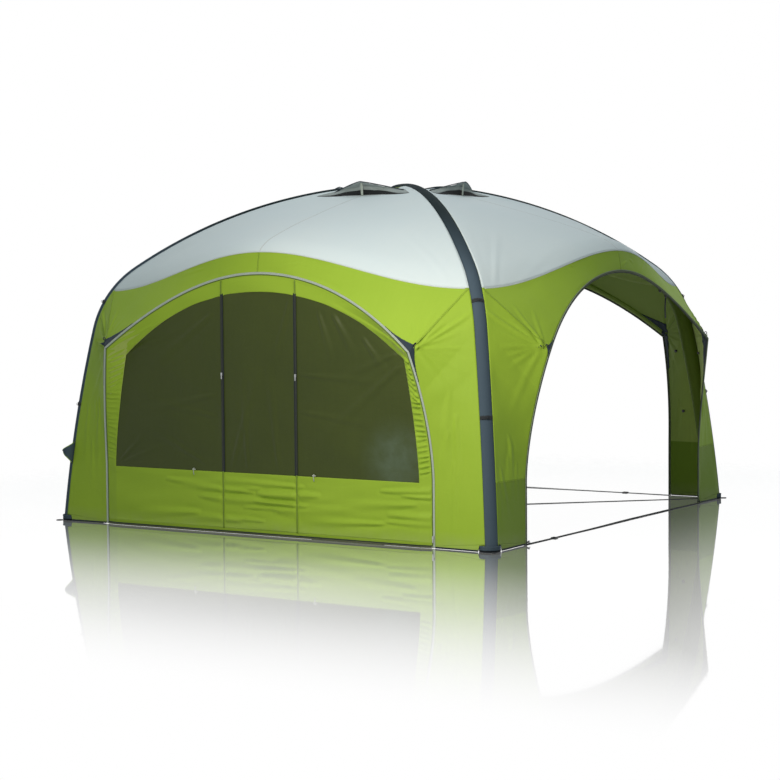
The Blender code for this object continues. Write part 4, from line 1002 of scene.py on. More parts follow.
def makeSide(quarter):
    side, plan = sides[quarter], sidePlan
    ripple = sideRipple(plan["seed"] + 7 * quarter)
    cloth = clothGrid("sideCloth_" + side, np.linspace(0, 1, plan["columns"] + 1), sideStops(plan["spacing"]),
                      sidePlace, "legCloth" if quarter else "greenCloth", quarter, ripple,
                      nodes=("side_panel_" + side,))
    trims = []

    def onCloth(across, stop, lift):
        here, normal, along = surfaceFrame(across, stop)
        return here + normal * (ripple(here, np.asarray(across, float), stop)[..., None] + lift), along

    def tape(name, points, across, size, material="seamCloth"):
        trims.append(ribbon(name, points, across, *size, material, quarter=quarter))

    def crossSeam(name, stop, count):
        points, along = onCloth(np.linspace(0.02, 0.985, count), np.full(count, stop), plan["seamLift"])
        tape(name, points, along, plan["seamTape"])

    for sign, label in ((-1, side + "L"), (1, side + "R")):
        tip = float(sign * (middleStop - shoulderStop))
        kind = patchKinds.get((quarter, sign), "shoulderPatch")
        trims.append(makePatch(kind, label, quarter, tip, onCloth))
        crossSeam("shoulderSeam_" + label, tip, 60)
        makeTipLoop(patchPlans[kind], label, quarter, tip, onCloth)
        trims += makeLegHem(label, quarter, sign, onCloth)
        if quarter:
            trims.append(makePatch("liningPatch", label, quarter, tip, onCloth))
            across = np.linspace(0.03, 0.97, 40)       # level seam over the splash panel
            low = sign * np.linspace(10.5, 13.6, 90)
            level = np.array([levelStop(value, sideSeamHeight, low) for value in across])
            points = onCloth(across, level, plan["splashLift"])[0]
            tape("splashSeam_" + label, points, (0, 0, 1), plan["splashTape"])
            makeLegToggles(label, quarter, sign, onCloth)
            makeHemTails(label, quarter, sign)
    crossSeam("browSeam_" + side, 0.0, 24)
    stops = np.linspace(-plan["edgeStop"], plan["edgeStop"], 150)
    points, along = onCloth(np.full(150, plan["edgeAcross"]), stops, plan["seamLift"])
    tape("roofEdge_" + side, points, np.cross(along, (0, -1, 0.6)), plan["edgeTape"], "roofSeamCloth")
    declareSheet(cloth)
    makeBand(quarter)
    makePole(quarter)


def makePatch(kind, label, quarter, tip, onCloth):
    # Slate pocket at a pole's end: widest at the tip, tapering up the brow and down the leg
    plan = patchPlans[kind]

    def place(share, offset):
        stop = tip + np.sign(tip) * offset * np.where(offset > 0, plan["leg"], plan["brow"])
        body = np.maximum(1 - np.abs(offset), 0) ** plan["power"]
        length = np.linalg.norm(outerPoints(stop) - archPoints(stop), axis=-1)
        return onCloth(share * (plan["rim"] + plan["width"] * body) / length, stop, plan["lift"])[0]

    return clothGrid(kind + "_" + label, np.linspace(0, 1, 13), np.linspace(-1, 1, 61), place, "patchCloth",
                     quarter, thickness=sidePlan["patchThickness"])


def makeTipLoop(plan, label, quarter, tip, onCloth):
    # Loop that draws the pole's end out to the beam
    reach = (plan["rim"] + plan["width"]) / float(np.linalg.norm(outerPoints(tip) - archPoints(tip)))
    ends, _ = onCloth(np.array((reach, reach * 1.3)), np.array((tip, tip)), 0.0)
    normal, run = surfaceFrame(reach, tip)[1], unit(ends[1] - ends[0])
    spin, radius = np.linspace(0, 2 * pi, 21), polePlan["loopRadius"]
    ring = ends[0] + normal * radius + radius * (np.outer(np.cos(spin) * 1.3, run) + np.outer(np.sin(spin), normal))
    tube("tipLoop_" + label, ring, polePlan["loopWire"], "webbing", resolution=3, quarter=quarter)


def inwardPeg(name, spot, normal, quarter, radius, length):
    axes = Vector(turnedPoints(-normal, quarter)).to_track_quat("X", "Z").to_matrix().to_4x4()
    axes.translation = Vector(turnedPoints(spot, quarter))
    profile = ((0, 0), (0, 1), (0.3, 1), (0.3, 0.55), (0.6, 0.55), (0.6, 1), (1, 0.9), (1, 0))
    turnedPiece(name, [(length * along, radius * out) for along, out in profile], axes, "blackPlastic", steps=24)


def makeLegHem(label, quarter, sign, onCloth):
    # Below the leg's rising edge: a wedge of cloth down to a dark binding near the floor, clear of the boot
    floor, boot, width, thickness = (sidePlan[key] for key in ("hemFloor", "hemBoot", "hemWidth", "hemThickness"))

    def line(across, lift):
        return onCloth(across, np.full_like(across, sign * middleStop), lift)[0]

    def bottom(across):
        return floor + (boot - floor) * smooth((across - sidePlan["hemBootAcross"]) / 0.012)

    def wedge(across, level):
        foot = line(across, 0.0016)
        high = foot[..., 2] + 0.004
        low = np.minimum(bottom(across) + width * 0.6, high - 0.001)
        foot[..., 2] = low + (high - low) * level
        return foot

    def binding(across, level):
        foot = line(across, 0.0028)
        foot[..., 2] = bottom(across) + width * level
        return foot

    cloth = clothGrid("legWedge_" + label, np.linspace(0.01, 0.892, 80), np.linspace(0, 1, 7), wedge,
                      "legCloth" if quarter else "greenCloth", quarter, thickness=thickness)
    hem = clothGrid("legHem_" + label, np.linspace(0.01, 0.885, 80), np.linspace(0, 1, 4), binding, "darkCloth",
                    quarter, thickness=thickness)
    return [cloth, hem]


def makeHemTails(label, quarter, sign):
    # Short webbing tails where the hem's cord comes out beside the opening
    foot = archPoints(sign * middleStop, 0.014) + (0, -0.004, 0)
    for number, (turn, rise) in enumerate(sidePlan["tailTurns"]):
        run = sidePlan["tailLength"] * unit(np.array((-sign * cos(radians(turn)), -0.6, rise)))
        step = np.linspace(0, 1, 7)[:, None]
        line = foot + run * step + (0, 0, -0.004) * step ** 2
        line[:, 2] = np.maximum(line[:, 2], 0.004)
        tube("hemTail_%s%d" % (label, number), line, sidePlan["tailRadius"], "webbing", resolution=2,
             quarter=quarter)


def makeLegToggles(label, quarter, sign, onCloth):
    # Toggles inside the leg that hold a rolled wall
    across = polePlan["toggleAcross"]
    for number, height in enumerate(polePlan["toggleHeights"]):
        stop = levelStop(across, height, sign * np.linspace(8.5, 13.6, 120))
        spot, normal = onCloth(across, stop, -0.0010)[0], surfaceFrame(across, stop)[1]
        inwardPeg("legToggle_%s%d" % (label, number), spot, normal, quarter, *polePlan["toggle"])


def makeBand(quarter):
    # Zip band round the opening, with a round bead sewn along its outer edge
    side, plan = sides[quarter], bandPlan
    stops = np.linspace(-middleStop, middleStop, plan["stops"])

    def place(row, column):
        near = archPoints(row, plan["foot"])
        return near + (bandInner(row, plan["foot"]) - near) * column[..., None]

    # painted shade: the open sides take darker copies of the band and bead finishes
    band = clothGrid("archBand_" + side, stops, np.linspace(0, 1, 9), place, "shadedOpenBand" if quarter else "zipBand",
                     quarter, thickness=plan["thickness"], nodes=("arch_zip_" + side,))
    line = archPoints(stops, plan["beadFoot"]) - (0, plan["beadOut"], 0)
    bead = tube("archBead_" + side, line, plan["beadRadius"], "shadedOpenBead" if quarter else "paleWeb", resolution=2,
                quarter=quarter)
    declareSheet(band)


def browFrame(stops):
    # The brow's edge, the way from it over the panel, and the panel's normal, at each stop
    near = archPoints(stops)
    return near, unit(outerPoints(stops) - near), surfaceFrame(np.full(len(stops), 0.05), stops)[1]


def makePole(quarter):
    side, plan = sides[quarter], polePlan
    near, across, normal = browFrame(np.linspace(-plan["lastStop"], plan["lastStop"], 121))
    route = near + across * plan["across"] - normal * plan["under"]
    tube("browPole_" + side, route, plan["radius"], "fibrePole", ("brow_pole_" + side,), quarter=quarter)
    for label, span in (("L", route[:5]), ("R", route[-5:])):
        tube("poleCap_" + side + label, span, plan["capRadius"], "blackPlastic", resolution=3, quarter=quarter)
    # The sleeve that holds the pole to the canopy
    stops = np.linspace(-plan["sleeveStop"], plan["sleeveStop"], 201)
    near, across, normal = browFrame(stops)

    def sleevePlace(row, column):
        index = np.rint(row).astype(int)
        drop = np.sin(pi * column) ** 0.5 * plan["sleeveDepth"] + 0.0016
        out = across[index] * (plan["sleeveStart"] + column * plan["sleeveReach"])[..., None]
        return near[index] + out - normal[index] * drop[..., None]

    clothGrid("poleSleeve_" + side, np.arange(len(stops)), np.linspace(0, 1, 13), sleevePlace,
              "darkCloth" if quarter % 2 else "greenCloth", quarter, thickness=plan["sleeveThickness"])
    for number, knob in enumerate(plan["knobs"] if quarter % 2 else ()):
        index = int(np.argmin(np.abs(stops - knob)))
        inward = -normal[index]
        spot = near[index] + across[index] * plan["knobAcross"] + inward * (plan["sleeveDepth"] + 0.0010)
        label = side + str(number)
        inwardPeg("sleeveKnob_" + label, spot, normal[index], quarter, *plan["knob"])
        if knob == plan["knobs"][-1]:                  # a tie for a rolled wall hangs from the last knob
            drop = np.linspace(0, 1, 14)[:, None]
            hang = spot + inward * (0.012 + np.sin(drop * 2.6) * 0.006) + drop * (0, 0, -plan["tieDrop"])
            ribbon("wallTie_" + label, hang, (1, 0, 0), *plan["tieTape"], "webbing", quarter=quarter)


for quarter in range(4):
    makeSide(quarter)
for quarter, cloth in enumerate(roofCloths):
    declareSheet(cloth)
print("sides done")


sillRow, headRow = 2, 7               # rows of the wall: hem 0, window from 2 to 7, top 8
wallPlan = {"spacing": 0.008, "fan": 0.40, "hem": 0.035, "skirtHem": 0.0008, "skirtFlare": 0.004,
            "hemTape": (0.005, 0.0010), "windowBottom": 0.420, "windowFoot": 1.275, "windowCorner": 1.165,
            "windowCornerHeight": 1.215, "windowTop": 1.655, "brow": 0.14, "doorFrame": 0.012,
            "paneDepth": 0.0016, "paneTuck": 0.006, "paneThickness": 0.0010, "zipTopMargin": 0.006,
            "zipTape": (0.015, 0.0014), "facingTape": (0.024, 0.0012), "facingMove": 0.0035,
            "toggles": (-0.563, 0.453), "toggleRadius": 0.0040, "loopTape": (0.006, 0.0012),
            "toggleHalf": 0.013, "toggleOut": 0.0048, "zipOut": 0.0026, "hemOut": 0.0066, "hemUp": 0.0165,
            "seed": 77, "waves": (8, 0.2, 0.7, 0.0045), "paneSeed": 91, "paneWaves": (8, 0.22, 0.8, 0.0065),
            "folds": 20, "gathers": 22, "cornerFolds": 6}


def windowParts(share, row):
    heights = legHeights(wallPlan["hem"])
    height = eased(np.clip(row, 0, headRow), legKnots[:-1], heights)
    bottom, head = wallPlan["windowBottom"], heights[-1]
    fraction = share / browShares[1]
    rise = ramp((height - bottom) / (head - bottom))
    top = wallPlan["windowTop"] - (wallPlan["windowTop"] - wallPlan["windowCornerHeight"]) * fraction ** 2.2
    up = np.minimum(height, bottom) + (top - bottom) * rise
    fan = (wallPlan["windowFoot"] + (wallPlan["windowCorner"] - wallPlan["windowFoot"]) * rise ** 1.5) * fraction
    straight = share * shoulderAlong
    mix = ramp((share - doorShare) / (wallPlan["fan"] - doorShare))
    return np.where(share <= wallPlan["fan"], straight + (fan - straight) * mix, fan), up


def browStop(share):
    # The stop on the opening where the brow is at a share
    stops = np.linspace(shoulderStop, middleStop, 241)
    shares = ramp(eased(stops, browKnots, browShares))
    return np.interp(-share, -shares, stops)


def wallPlace(column, row):
    share = np.abs(column)
    inner = np.minimum(share, browShares[1])
    along, up = windowParts(inner, row)
    body = np.stack((along, np.full_like(along, -arch["topOut"]), up), axis=-1)
    top = bandInner(middleStop - browStop(share), wallPlan["hem"])
    innerTop = bandInner(middleStop - browStop(inner), wallPlan["hem"])
    lift = ramp(row - headRow)[..., None]
    body = body + (innerTop - body) * lift
    edge = bandInner(middleStop - np.clip(row, 0, shoulderStop), wallPlan["hem"])
    mix = ramp((share - browShares[1]) / (1 - browShares[1]))[..., None]
    corner = bandInner(np.full_like(share, middleStop - shoulderStop), wallPlan["hem"])
    straightTop = innerTop + (corner - innerTop) * mix
    found = body + (edge - body) * mix + (top - straightTop) * lift * (mix > 0)
    found[..., 0] *= np.where(column < 0, -1, 1)
    return found


def wallRipple(points, column, row):
    u, z = points[..., 0], points[..., 2]
    share = np.abs(column)
    folds = []
    draw = np.random.RandomState(wallPlan["seed"])
    for _ in range(wallPlan["folds"]):         # slack level folds below the window
        height = draw.uniform(0.07, 0.37)
        start = draw.uniform(-1.25, 1.25)
        reach = draw.uniform(0.45, 0.95) * draw.choice([-1, 1])
        folds.append((start, height, start + reach, height + draw.uniform(-0.035, 0.035),
                      draw.uniform(0.022, 0.046), draw.uniform(0.009, 0.018)))
    for sign in (-1, 1):                       # gathers between the window and the band, from the shoulder down
        for number in range(wallPlan["gathers"]):
            height = 1.24 - number * 0.036 - draw.uniform(0, 0.012)
            slope = 0.035 if height > 0.95 else (0.0 if height > 0.7 else -0.015)
            strength = (0.018 if height > 0.9 else 0.013) * draw.uniform(0.6, 1.1) * (1.0 if sign > 0 else 0.55)
            outer = float(archLeg(np.array(height))[0]) - 0.03
            folds.append((sign * outer, height - slope, sign * (outer - 0.14), height + slope, 0.014, strength))
        for number in range(wallPlan["cornerFolds"]):
            folds.append((sign * (1.25 - 0.02 * number), 1.26 + 0.012 * number, sign * (1.02 - 0.1 * number),
                          1.31 + 0.06 * number, 0.014, draw.uniform(0.003, 0.006) * (1.0 if sign > 0 else 0.7)))
    pinned = ramp(1 - share, 0.02) * ramp(shoulderStop - row, 0.15) * ramp(row, 0.1)
    pinned *= ramp(np.abs(share - doorShare), 0.02)
    beside = (row > 1.8) & (row < 7.2)         # the window's edge stays straight
    pinned *= np.where(beside, np.clip(np.abs(share - browShares[1]) / 0.022, 0.06, 1), 1)
    pinned *= np.where(share < browShares[1], np.clip(np.abs(row - sillRow) / 0.20, 0.06, 1), 1)
    return pinned * (creaseField(u, z, folds) + softWaves(u, z * 2.5, wallPlan["seed"] + 1, wallPlan["waves"]))


def columnSteps(first, last, spacing):
    half = (1, browShares[1], wallPlan["fan"], doorShare)
    knots = sorted(value for value in {first, last, *half, *(-value for value in half)}
                   if first - 1e-9 <= value <= last + 1e-9)
    return fineSteps(knots, [(b - a) * shoulderAlong for a, b in zip(knots, knots[1:])], spacing)


def rowSteps(spacing):
    heights = [float(windowParts(0.3, row)[1]) for row in legKnots]
    lengths = np.abs(np.diff(heights))
    lengths[-1] = max(lengths[-1], wallPlan["brow"])
    return fineSteps(legKnots, lengths, spacing)


paneFolds = [(1.16, 1.19, 0.45, 0.62, 0.045, 0.012), (1.10, 1.25, 0.60, 1.05, 0.035, 0.009),
             (0.62, 1.50, 0.80, 1.20, 0.035, 0.010), (0.50, 1.52, 0.62, 1.15, 0.030, 0.008),
             (0.85, 1.35, 1.05, 1.10, 0.030, 0.008), (0.36, 1.10, 1.05, 1.06, 0.030, 0.007),
             (0.36, 0.85, 0.95, 0.78, 0.030, 0.006), (-1.22, 0.45, -0.85, 0.58, 0.022, 0.007),
             (-1.22, 0.44, -0.70, 0.47, 0.018, 0.006), (-1.23, 0.47, -1.00, 0.66, 0.022, 0.006),
             (-1.12, 1.24, -0.45, 1.48, 0.040, 0.009), (-0.40, 1.50, -1.00, 1.10, 0.040, 0.010),
             (-0.38, 0.95, -1.15, 0.80, 0.035, 0.007), (-0.38, 0.80, -1.05, 0.92, 0.030, 0.006),
             (-0.45, 0.47, -0.95, 0.70, 0.028, 0.006), (-0.24, 0.45, 0.02, 1.20, 0.035, 0.006),
             (-0.10, 0.44, -0.14, 1.10, 0.028, 0.006), (0.16, 0.45, 0.06, 1.30, 0.035, 0.006),
             (0.26, 1.60, 0.10, 1.10, 0.030, 0.005)]


def paneRipple(points, column, row):
    u, z = points[..., 0], points[..., 2]
    share = np.abs(column)
    pinned = ramp(browShares[1] - share, 0.05) * ramp(row - sillRow, 0.35)
    pinned *= ramp(headRow - row, 0.35) * ramp(np.abs(share - doorShare), 0.025)
    return pinned * (creaseField(u, z, paneFolds) + softWaves(u, z, wallPlan["paneSeed"], wallPlan["paneWaves"]))


def makeWall():
    frameShare = doorShare - wallPlan["doorFrame"] / shoulderAlong
    spans = {"left": (-1, -doorShare, -browShares[1], -doorShare),
             "door": (-doorShare, doorShare, -frameShare, frameShare),
             "right": (doorShare, 1, doorShare, browShares[1])}
    rows = rowSteps(wallPlan["spacing"])
    sill, head = (int(np.argmin(np.abs(rows - stop))) for stop in (sillRow, headRow))
    for name, (first, last, paneFirst, paneLast) in spans.items():
        columns = columnSteps(first, last, wallPlan["spacing"])
        if name == "door":
            columns = np.unique(np.concatenate((columns, (paneFirst, paneLast))).round(9))
        low, high = (int(np.argmin(np.abs(columns - value))) for value in (paneFirst, paneLast))
        panel = clothGrid("wallCloth_" + name, columns, rows, wallPlace, "greenCloth", ripple=wallRipple,
                          holes=[(low, high, sill, head)], nodes=("wall_" + name,))
        panes = columns[max(low - 3, 0):high + 4]      # the film runs on behind the cloth all round
        glazed = rows[sill - 3:min(head + 4, len(rows) - 1)]

        def behind(column, row):
            found = wallPlace(column, row)
            beyond = np.maximum(np.maximum(columns[low] - column, column - columns[high]) * shoulderAlong,
                                np.maximum(rows[sill] - row, row - rows[head]) * wallPlan["brow"])
            found[..., 1] += wallPlan["paneDepth"] + wallPlan["paneTuck"] * smooth(beyond / 0.016)
            return found

        pane = clothGrid("windowPane_" + name, panes, glazed, behind, "windowFilm", ripple=paneRipple,
                         thickness=wallPlan["paneThickness"], nodes=("window_" + name,))
        declareSheet(panel)
        declareSheet(pane)


def makeSkirt():
    columns = np.linspace(-1, 1, 261)

    def place(column, up):
        found = wallPlace(column, np.zeros_like(column))
        wave = np.sin(found[..., 0] * 9) * 0.4 + np.sin(found[..., 0] * 23 + 1) * 0.25
        flare = (wallPlan["hem"] - up) / wallPlan["hem"]
        found[..., 2] = up
        found[..., 1] -= wallPlan["skirtFlare"] * flare * (1 + wave)
        return found

    skirt = clothGrid("wallSkirt", columns, np.linspace(wallPlan["skirtHem"], wallPlan["hem"] + 0.002, 7), place,
                      "skirtCloth", nodes=("wall_skirt",))
    edge = wallPlace(columns, np.zeros_like(columns))
    edge[:, 1] -= wallPlan["hemOut"]           # in front of the skirt's flare, at half its height
    edge[:, 2] = wallPlan["hemUp"]
    binding = ribbon("wallHem", edge, (0, 0, 1), *wallPlan["hemTape"], "darkCloth")
    declareSheet(skirt)


def makeZips():
    plan = wallPlan
    top = float(bandInner(middleStop - browStop(doorShare), plan["hem"])[2])
    heights = np.linspace(plan["hem"], top - plan["zipTopMargin"], 120)
    for side, sign in (("left", -1), ("right", 1)):
        points = sidePoints(sign * doorHalf, arch["topOut"] + plan["zipOut"], heights)
        ribbon("doorZip_" + side, points, (1, 0, 0), *plan["zipTape"], "zipTape", nodes=("door_zip_" + side,))
        middle = (heights > plan["windowBottom"] - 0.002) & (heights < plan["windowTop"])
        facing = points[middle] + (-sign * plan["facingMove"], 0.0003, 0)
        ribbon("zipFacing_" + side, facing, (1, 0, 0), *plan["facingTape"], "darkCloth")
        easedCopy("zip_slider_" + side, "zipSlider_" + side, "sliderMetal", "zip_slider_" + side, 0.0006)
    easedCopy("arch_slider", "archSlider", "sliderMetal", "arch_slider", 0.0006)
    for number, along in enumerate(plan["toggles"]):   # toggles at the window's lower edge
        spot = np.array((along, -arch["topOut"] - plan["toggleOut"], plan["windowBottom"] + 0.008))
        line = [spot + (step * plan["toggleHalf"], 0, 0) for step in (-1, -0.4, 0.4, 1)]
        tube("toggle_%d" % number, line, plan["toggleRadius"], "palePlastic", resolution=3)
        loop = [spot + (0, -0.001 - 0.006 * sin(pi * step), 0.012 - 0.05 * step) for step in np.linspace(0, 1, 9)]
        ribbon("toggleLoop_%d" % number, loop, (1, 0, 0), *plan["loopTape"], "paleWeb")


makeWall()
makeSkirt()
makeZips()
print("wall done")


ventPlan = {"hinge": 0.430, "halfWidth": 0.305, "taper": 1.20, "depth": 0.142, "endDepth": 0.012,
            "open": radians(43), "hingeLift": 0.0020, "lift": 0.0040, "propWidth": 0.020, "propTop": 0.88,
            "footMargin": 0.008, "keep": 0.08, "tip": 0.402, "tipOut": 0.530, "lip": 0.506, "gussetKeep": 0.04,
            "valance": (0.58, 0.16), "gussetParts": (("L", -0.402, -0.16), ("M", -0.16, 0.16), ("R", 0.16, 0.402)),
            "hoodThickness": 0.0020, "propThickness": 0.0020, "meshThickness": 0.0008, "netDrop": 0.006,
            "binding": (0.009, 0.0036), "edgeTape": (0.012, 0.0010), "ridgeTape": (0.010, 0.0007),
            "meshDepth": (0.62, 0.33), "meshFade": (0.07, 0.17), "valanceFade": (0.10, 0.28), "netHalf": 0.44,
            "netMargin": 0.006, "edgeHalf": 0.43, "edgeLift": 0.0014, "ridgeLift": 0.0011}


def hoodPlace(column, depth):
    plan = ventPlan
    # The free edge comes to a soft point over the prop
    reach = plan["endDepth"] + (plan["depth"] - plan["endDepth"]) * (1 - np.abs(column) ** plan["taper"])
    along, out = plan["halfWidth"] * column, plan["hinge"] + reach * depth
    up = roofHeight(along, out) + plan["hingeLift"] + (plan["lift"] - plan["hingeLift"]) * depth
    axis = float(roofHeight(plan["halfWidth"], plan["hinge"])) + plan["hingeLift"]
    ahead, above = out - plan["hinge"], up - axis
    turn = plan["open"]
    return sidePoints(along, plan["hinge"] + ahead * cos(turn) - above * sin(turn),
                      axis + above * cos(turn) + ahead * sin(turn))


def hoodRipple(points, column, depth):
    share = np.abs(column)
    sag = -0.006 * np.sin(pi * ramp(share * 1.2)) * depth ** 2
    return sag + 0.0012 * np.sin(column * 21) * depth


def gussetEdges(along):
    # Black mesh under the hood: from the roof up to the hood's underside, and out to a point beside each beam
    plan = ventPlan
    away = np.abs(along)
    share = ramp(away / plan["halfWidth"])
    (depth, deeper), (start, fade) = plan["meshDepth"], plan["meshFade"]
    top = hoodPlace(np.sign(along) * share, depth + deeper * smooth((away - start) / fade))
    beyond = ramp((away - plan["halfWidth"]) / (plan["tip"] - plan["halfWidth"]))
    top[..., 0] = along
    top[..., 1] -= (plan["tipOut"] - plan["hinge"] - plan["endDepth"]) * beyond
    rest = roofHeight(along, -top[..., 1])
    top[..., 2] = np.where(beyond > 0, rest + 0.0012 + 0.014 * (1 - beyond), top[..., 2] - 0.0035)
    foot = top.copy()
    foot[..., 1] = -(plan["lip"] + (plan["tipOut"] + 0.002 - plan["lip"]) * away / plan["tip"])
    foot[..., 2] = roofHeight(along, -foot[..., 1]) + 0.0010
    top[..., 2] = np.maximum(top[..., 2], foot[..., 2] + 0.0004)
    return foot, top


def makeGusset(name, first, last, quarter, joint, material):
    (middleCover, tipCover), (start, fade) = ventPlan["valance"], ventPlan["valanceFade"]

    def place(along, level):
        foot, top = gussetEdges(along)
        if material == "hoodCloth":                    # the valance hangs over the mesh, a little in front of it
            cover = middleCover + (tipCover - middleCover) * smooth((np.abs(along) - start) / fade)
            level = cover + (1 - cover) * level
            foot, top = (edge + np.array((0, -0.0012, 0.0014)) for edge in (foot, top))
        return foot + (top - foot) * level[..., None]

    piece = clothGrid(name, np.linspace(first, last, 33), np.linspace(0, 1, 7), place, material, quarter,
                      thickness=ventPlan["meshThickness"])
    middle = (first + last) / 2
    foot, _ = gussetEdges(middle)
    out = -foot[1]
    slopes = [float(roofHeight(middle + a, out + b) - roofHeight(middle - a, out - b)) / 0.02
              for a, b in ((0.01, 0), (0, 0.01))]
    normal = turnedPoints(unit(np.array((-slopes[0], slopes[1], 1))), quarter)
    tuple(float(v) for v in turnedPoints(foot, quarter))
    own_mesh(piece)


def makeVent(quarter):
    side, plan = sides[quarter], ventPlan
    body, hinge = "vent_cover_" + side, "vent_hood_" + side + "_hinge"
    columns = np.linspace(-1, 1, 61)
    hood = clothGrid("ventHood_" + side, columns, np.linspace(0, 1, 17), hoodPlace, "hoodCloth", quarter,
                     hoodRipple, thickness=plan["hoodThickness"], body=body, nodes=("vent_hood_" + side,))
    edge, inner = hoodPlace(columns, np.ones(61)), hoodPlace(columns, np.full(61, 0.9))
    edge = edge + (edge - inner) * 0.05
    binding = ribbon("hoodBinding_" + side, edge, edge - inner, *plan["binding"], "patchCloth", body,
                     quarter=quarter)
    declareSheet(hood)
    lip = -float(roofPlace(0.0, ventAngles[0])[1]) + plan["footMargin"]
    foot = np.array((0, -lip, float(roofHeight(0.0, lip)) + 0.0012))
    top = hoodPlace(0.0, plan["propTop"])
    top = top + unit(foot - top) * 0.002
    prop = ribbon("ventProp_" + side, foot + (top - foot) * np.linspace(0, 1, 12)[:, None], (1, 0, 0),
                  plan["propWidth"], plan["propThickness"], "paleWeb", nodes=("vent_prop_" + side,), quarter=quarter)
    anchor = turnedPoints(foot, quarter)
    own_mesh(prop)
    for label, first, last in plan["gussetParts"]:
        makeGusset("ventGusset_" + side + label, first, last, quarter, hinge, "netCloth")
        makeGusset("ventValance_" + side + label, first, last, quarter, hinge, "hoodCloth")

    def under(share, angle):
        return roofPlace(share, angle) - (0, 0, plan["netDrop"])

    rows = np.linspace(ventAngles[0] - plan["netMargin"], ventAngles[1] + plan["netMargin"], 11)
    net = clothGrid("ventNet_" + side, np.linspace(-plan["netHalf"], plan["netHalf"], 45), rows, under, "netCloth",
                    quarter, thickness=plan["meshThickness"])
    declareSheet(net)
    for name, angle in zip(("Low", "High"), ventAngles):
        shares = np.linspace(-plan["edgeHalf"], plan["edgeHalf"], 45)
        line = roofPlace(shares, np.full(45, angle)) + (0, 0, plan["edgeLift"])
        ribbon("ventEdge" + name + "_" + side, line, (0, -1, -0.4), *plan["edgeTape"], "roofSeamCloth",
               quarter=quarter)
    angles = np.linspace(seamAngle + 0.01, ventAngles[0] - 0.004, 90)
    ridge = roofPlace(np.zeros(90), angles)
    ridge[:, 2] += roofRipple(quarter)(ridge, np.zeros(90), angles) + plan["ridgeLift"]
    ribbon("ridgeSeam_" + side, ridge, (1, 0, 0), *plan["ridgeTape"], "roofSeamCloth", quarter=quarter)


for quarter in range(4):
    makeVent(quarter)
print("vents done")


valvePlan = {"height": 0.500, "flange": 0.0205, "flangeThickness": 0.0022, "neck": 0.0135, "neckHeight": 0.0075,
             "bore": 0.0100, "capWall": 0.0045, "capTop": 0.0030, "flapHeight": 0.175, "flapTip": 0.006,
             "flapStart": radians(38), "flapEnd": radians(-44), "flapRise": 0.021, "flapOpen": radians(80),
             "flapTape": (0.006, 0.0024), "ribs": 18, "ribSize": (0.0085, 0.0016, 0.0018, 1),
             "sink": 0.004, "seatLift": 0.0002, "capGap": 0.0004, "capLift": 0.0014}


def legFrame(azimuth, angle, end):
    x, z = (float(value) for value in outline(angle))
    out = Vector((end * cos(angle), 0, sin(angle)))
    up = Vector((-end * sin(angle), 0, cos(angle)))
    axes = Matrix((out, up.cross(out), up)).transposed().to_4x4()
    axes.translation = Vector((end * x, 0, z)) - out * tent["tube"]
    return Matrix.Rotation(azimuth, 4, "Z") @ axes


def makeValve(name, azimuth):
    plan = valvePlan
    axes = legFrame(azimuth, legAngle(plan["height"]), -1)
    seat = tent["tube"] + plan["seatLift"]
    shoulder = seat + plan["flangeThickness"]
    mouth = shoulder + plan["neckHeight"]
    bore, neck, flange, low, gap = (plan[key] for key in ("bore", "neck", "flange", "sink", "capGap"))
    low = seat - low
    base = [(low, bore), (mouth, bore), (mouth, neck), (shoulder + 0.001, neck), (shoulder, flange - 0.002),
            (seat + 0.0008, flange), (seat, flange), (seat, neck), (low, neck)]
    turnedPiece("valveBase_" + name, base, axes, "blackPlastic", nodes=("valve_base_" + name,), bevel=0.0003)
    inner, outer = neck + gap, neck + gap + plan["capWall"]
    foot, ceiling = shoulder + plan["capLift"], mouth + gap
    cap = [(foot, inner), (ceiling, inner), (ceiling, 0), (ceiling + plan["capTop"] + 0.0008, 0),
           (ceiling + plan["capTop"] + 0.0004, outer * 0.6), (ceiling + plan["capTop"], outer), (foot, outer)]
    body = "valve_cap_" + name
    turnedPiece("valveCap_" + name, cap, axes, "slatePlastic", body, ("valve_cap_" + name,), bevel=0.0008)
    bm = bmesh.new()                                   # grip ribs round the cap
    for number in range(plan["ribs"]):
        turn = Matrix.Rotation(2 * pi * number / plan["ribs"], 4, "X")
        spot = turn @ Matrix.Translation(((foot + ceiling + plan["capTop"]) / 2, outer + 0.0002, 0))
        bmesh.ops.create_cube(bm, size=1, matrix=spot @ Matrix.Diagonal(plan["ribSize"]))
    bmesh.ops.bevel(bm, geom=bm.edges[:], offset=0.0004, affect="EDGES", segments=2, profile=0.5, material=-1)
    bm.transform(axes)
    addPiece("capRibs_" + name, meshFrom(bm, "capRibs"), "slatePlastic", body)
    makeFlap(name, axes)


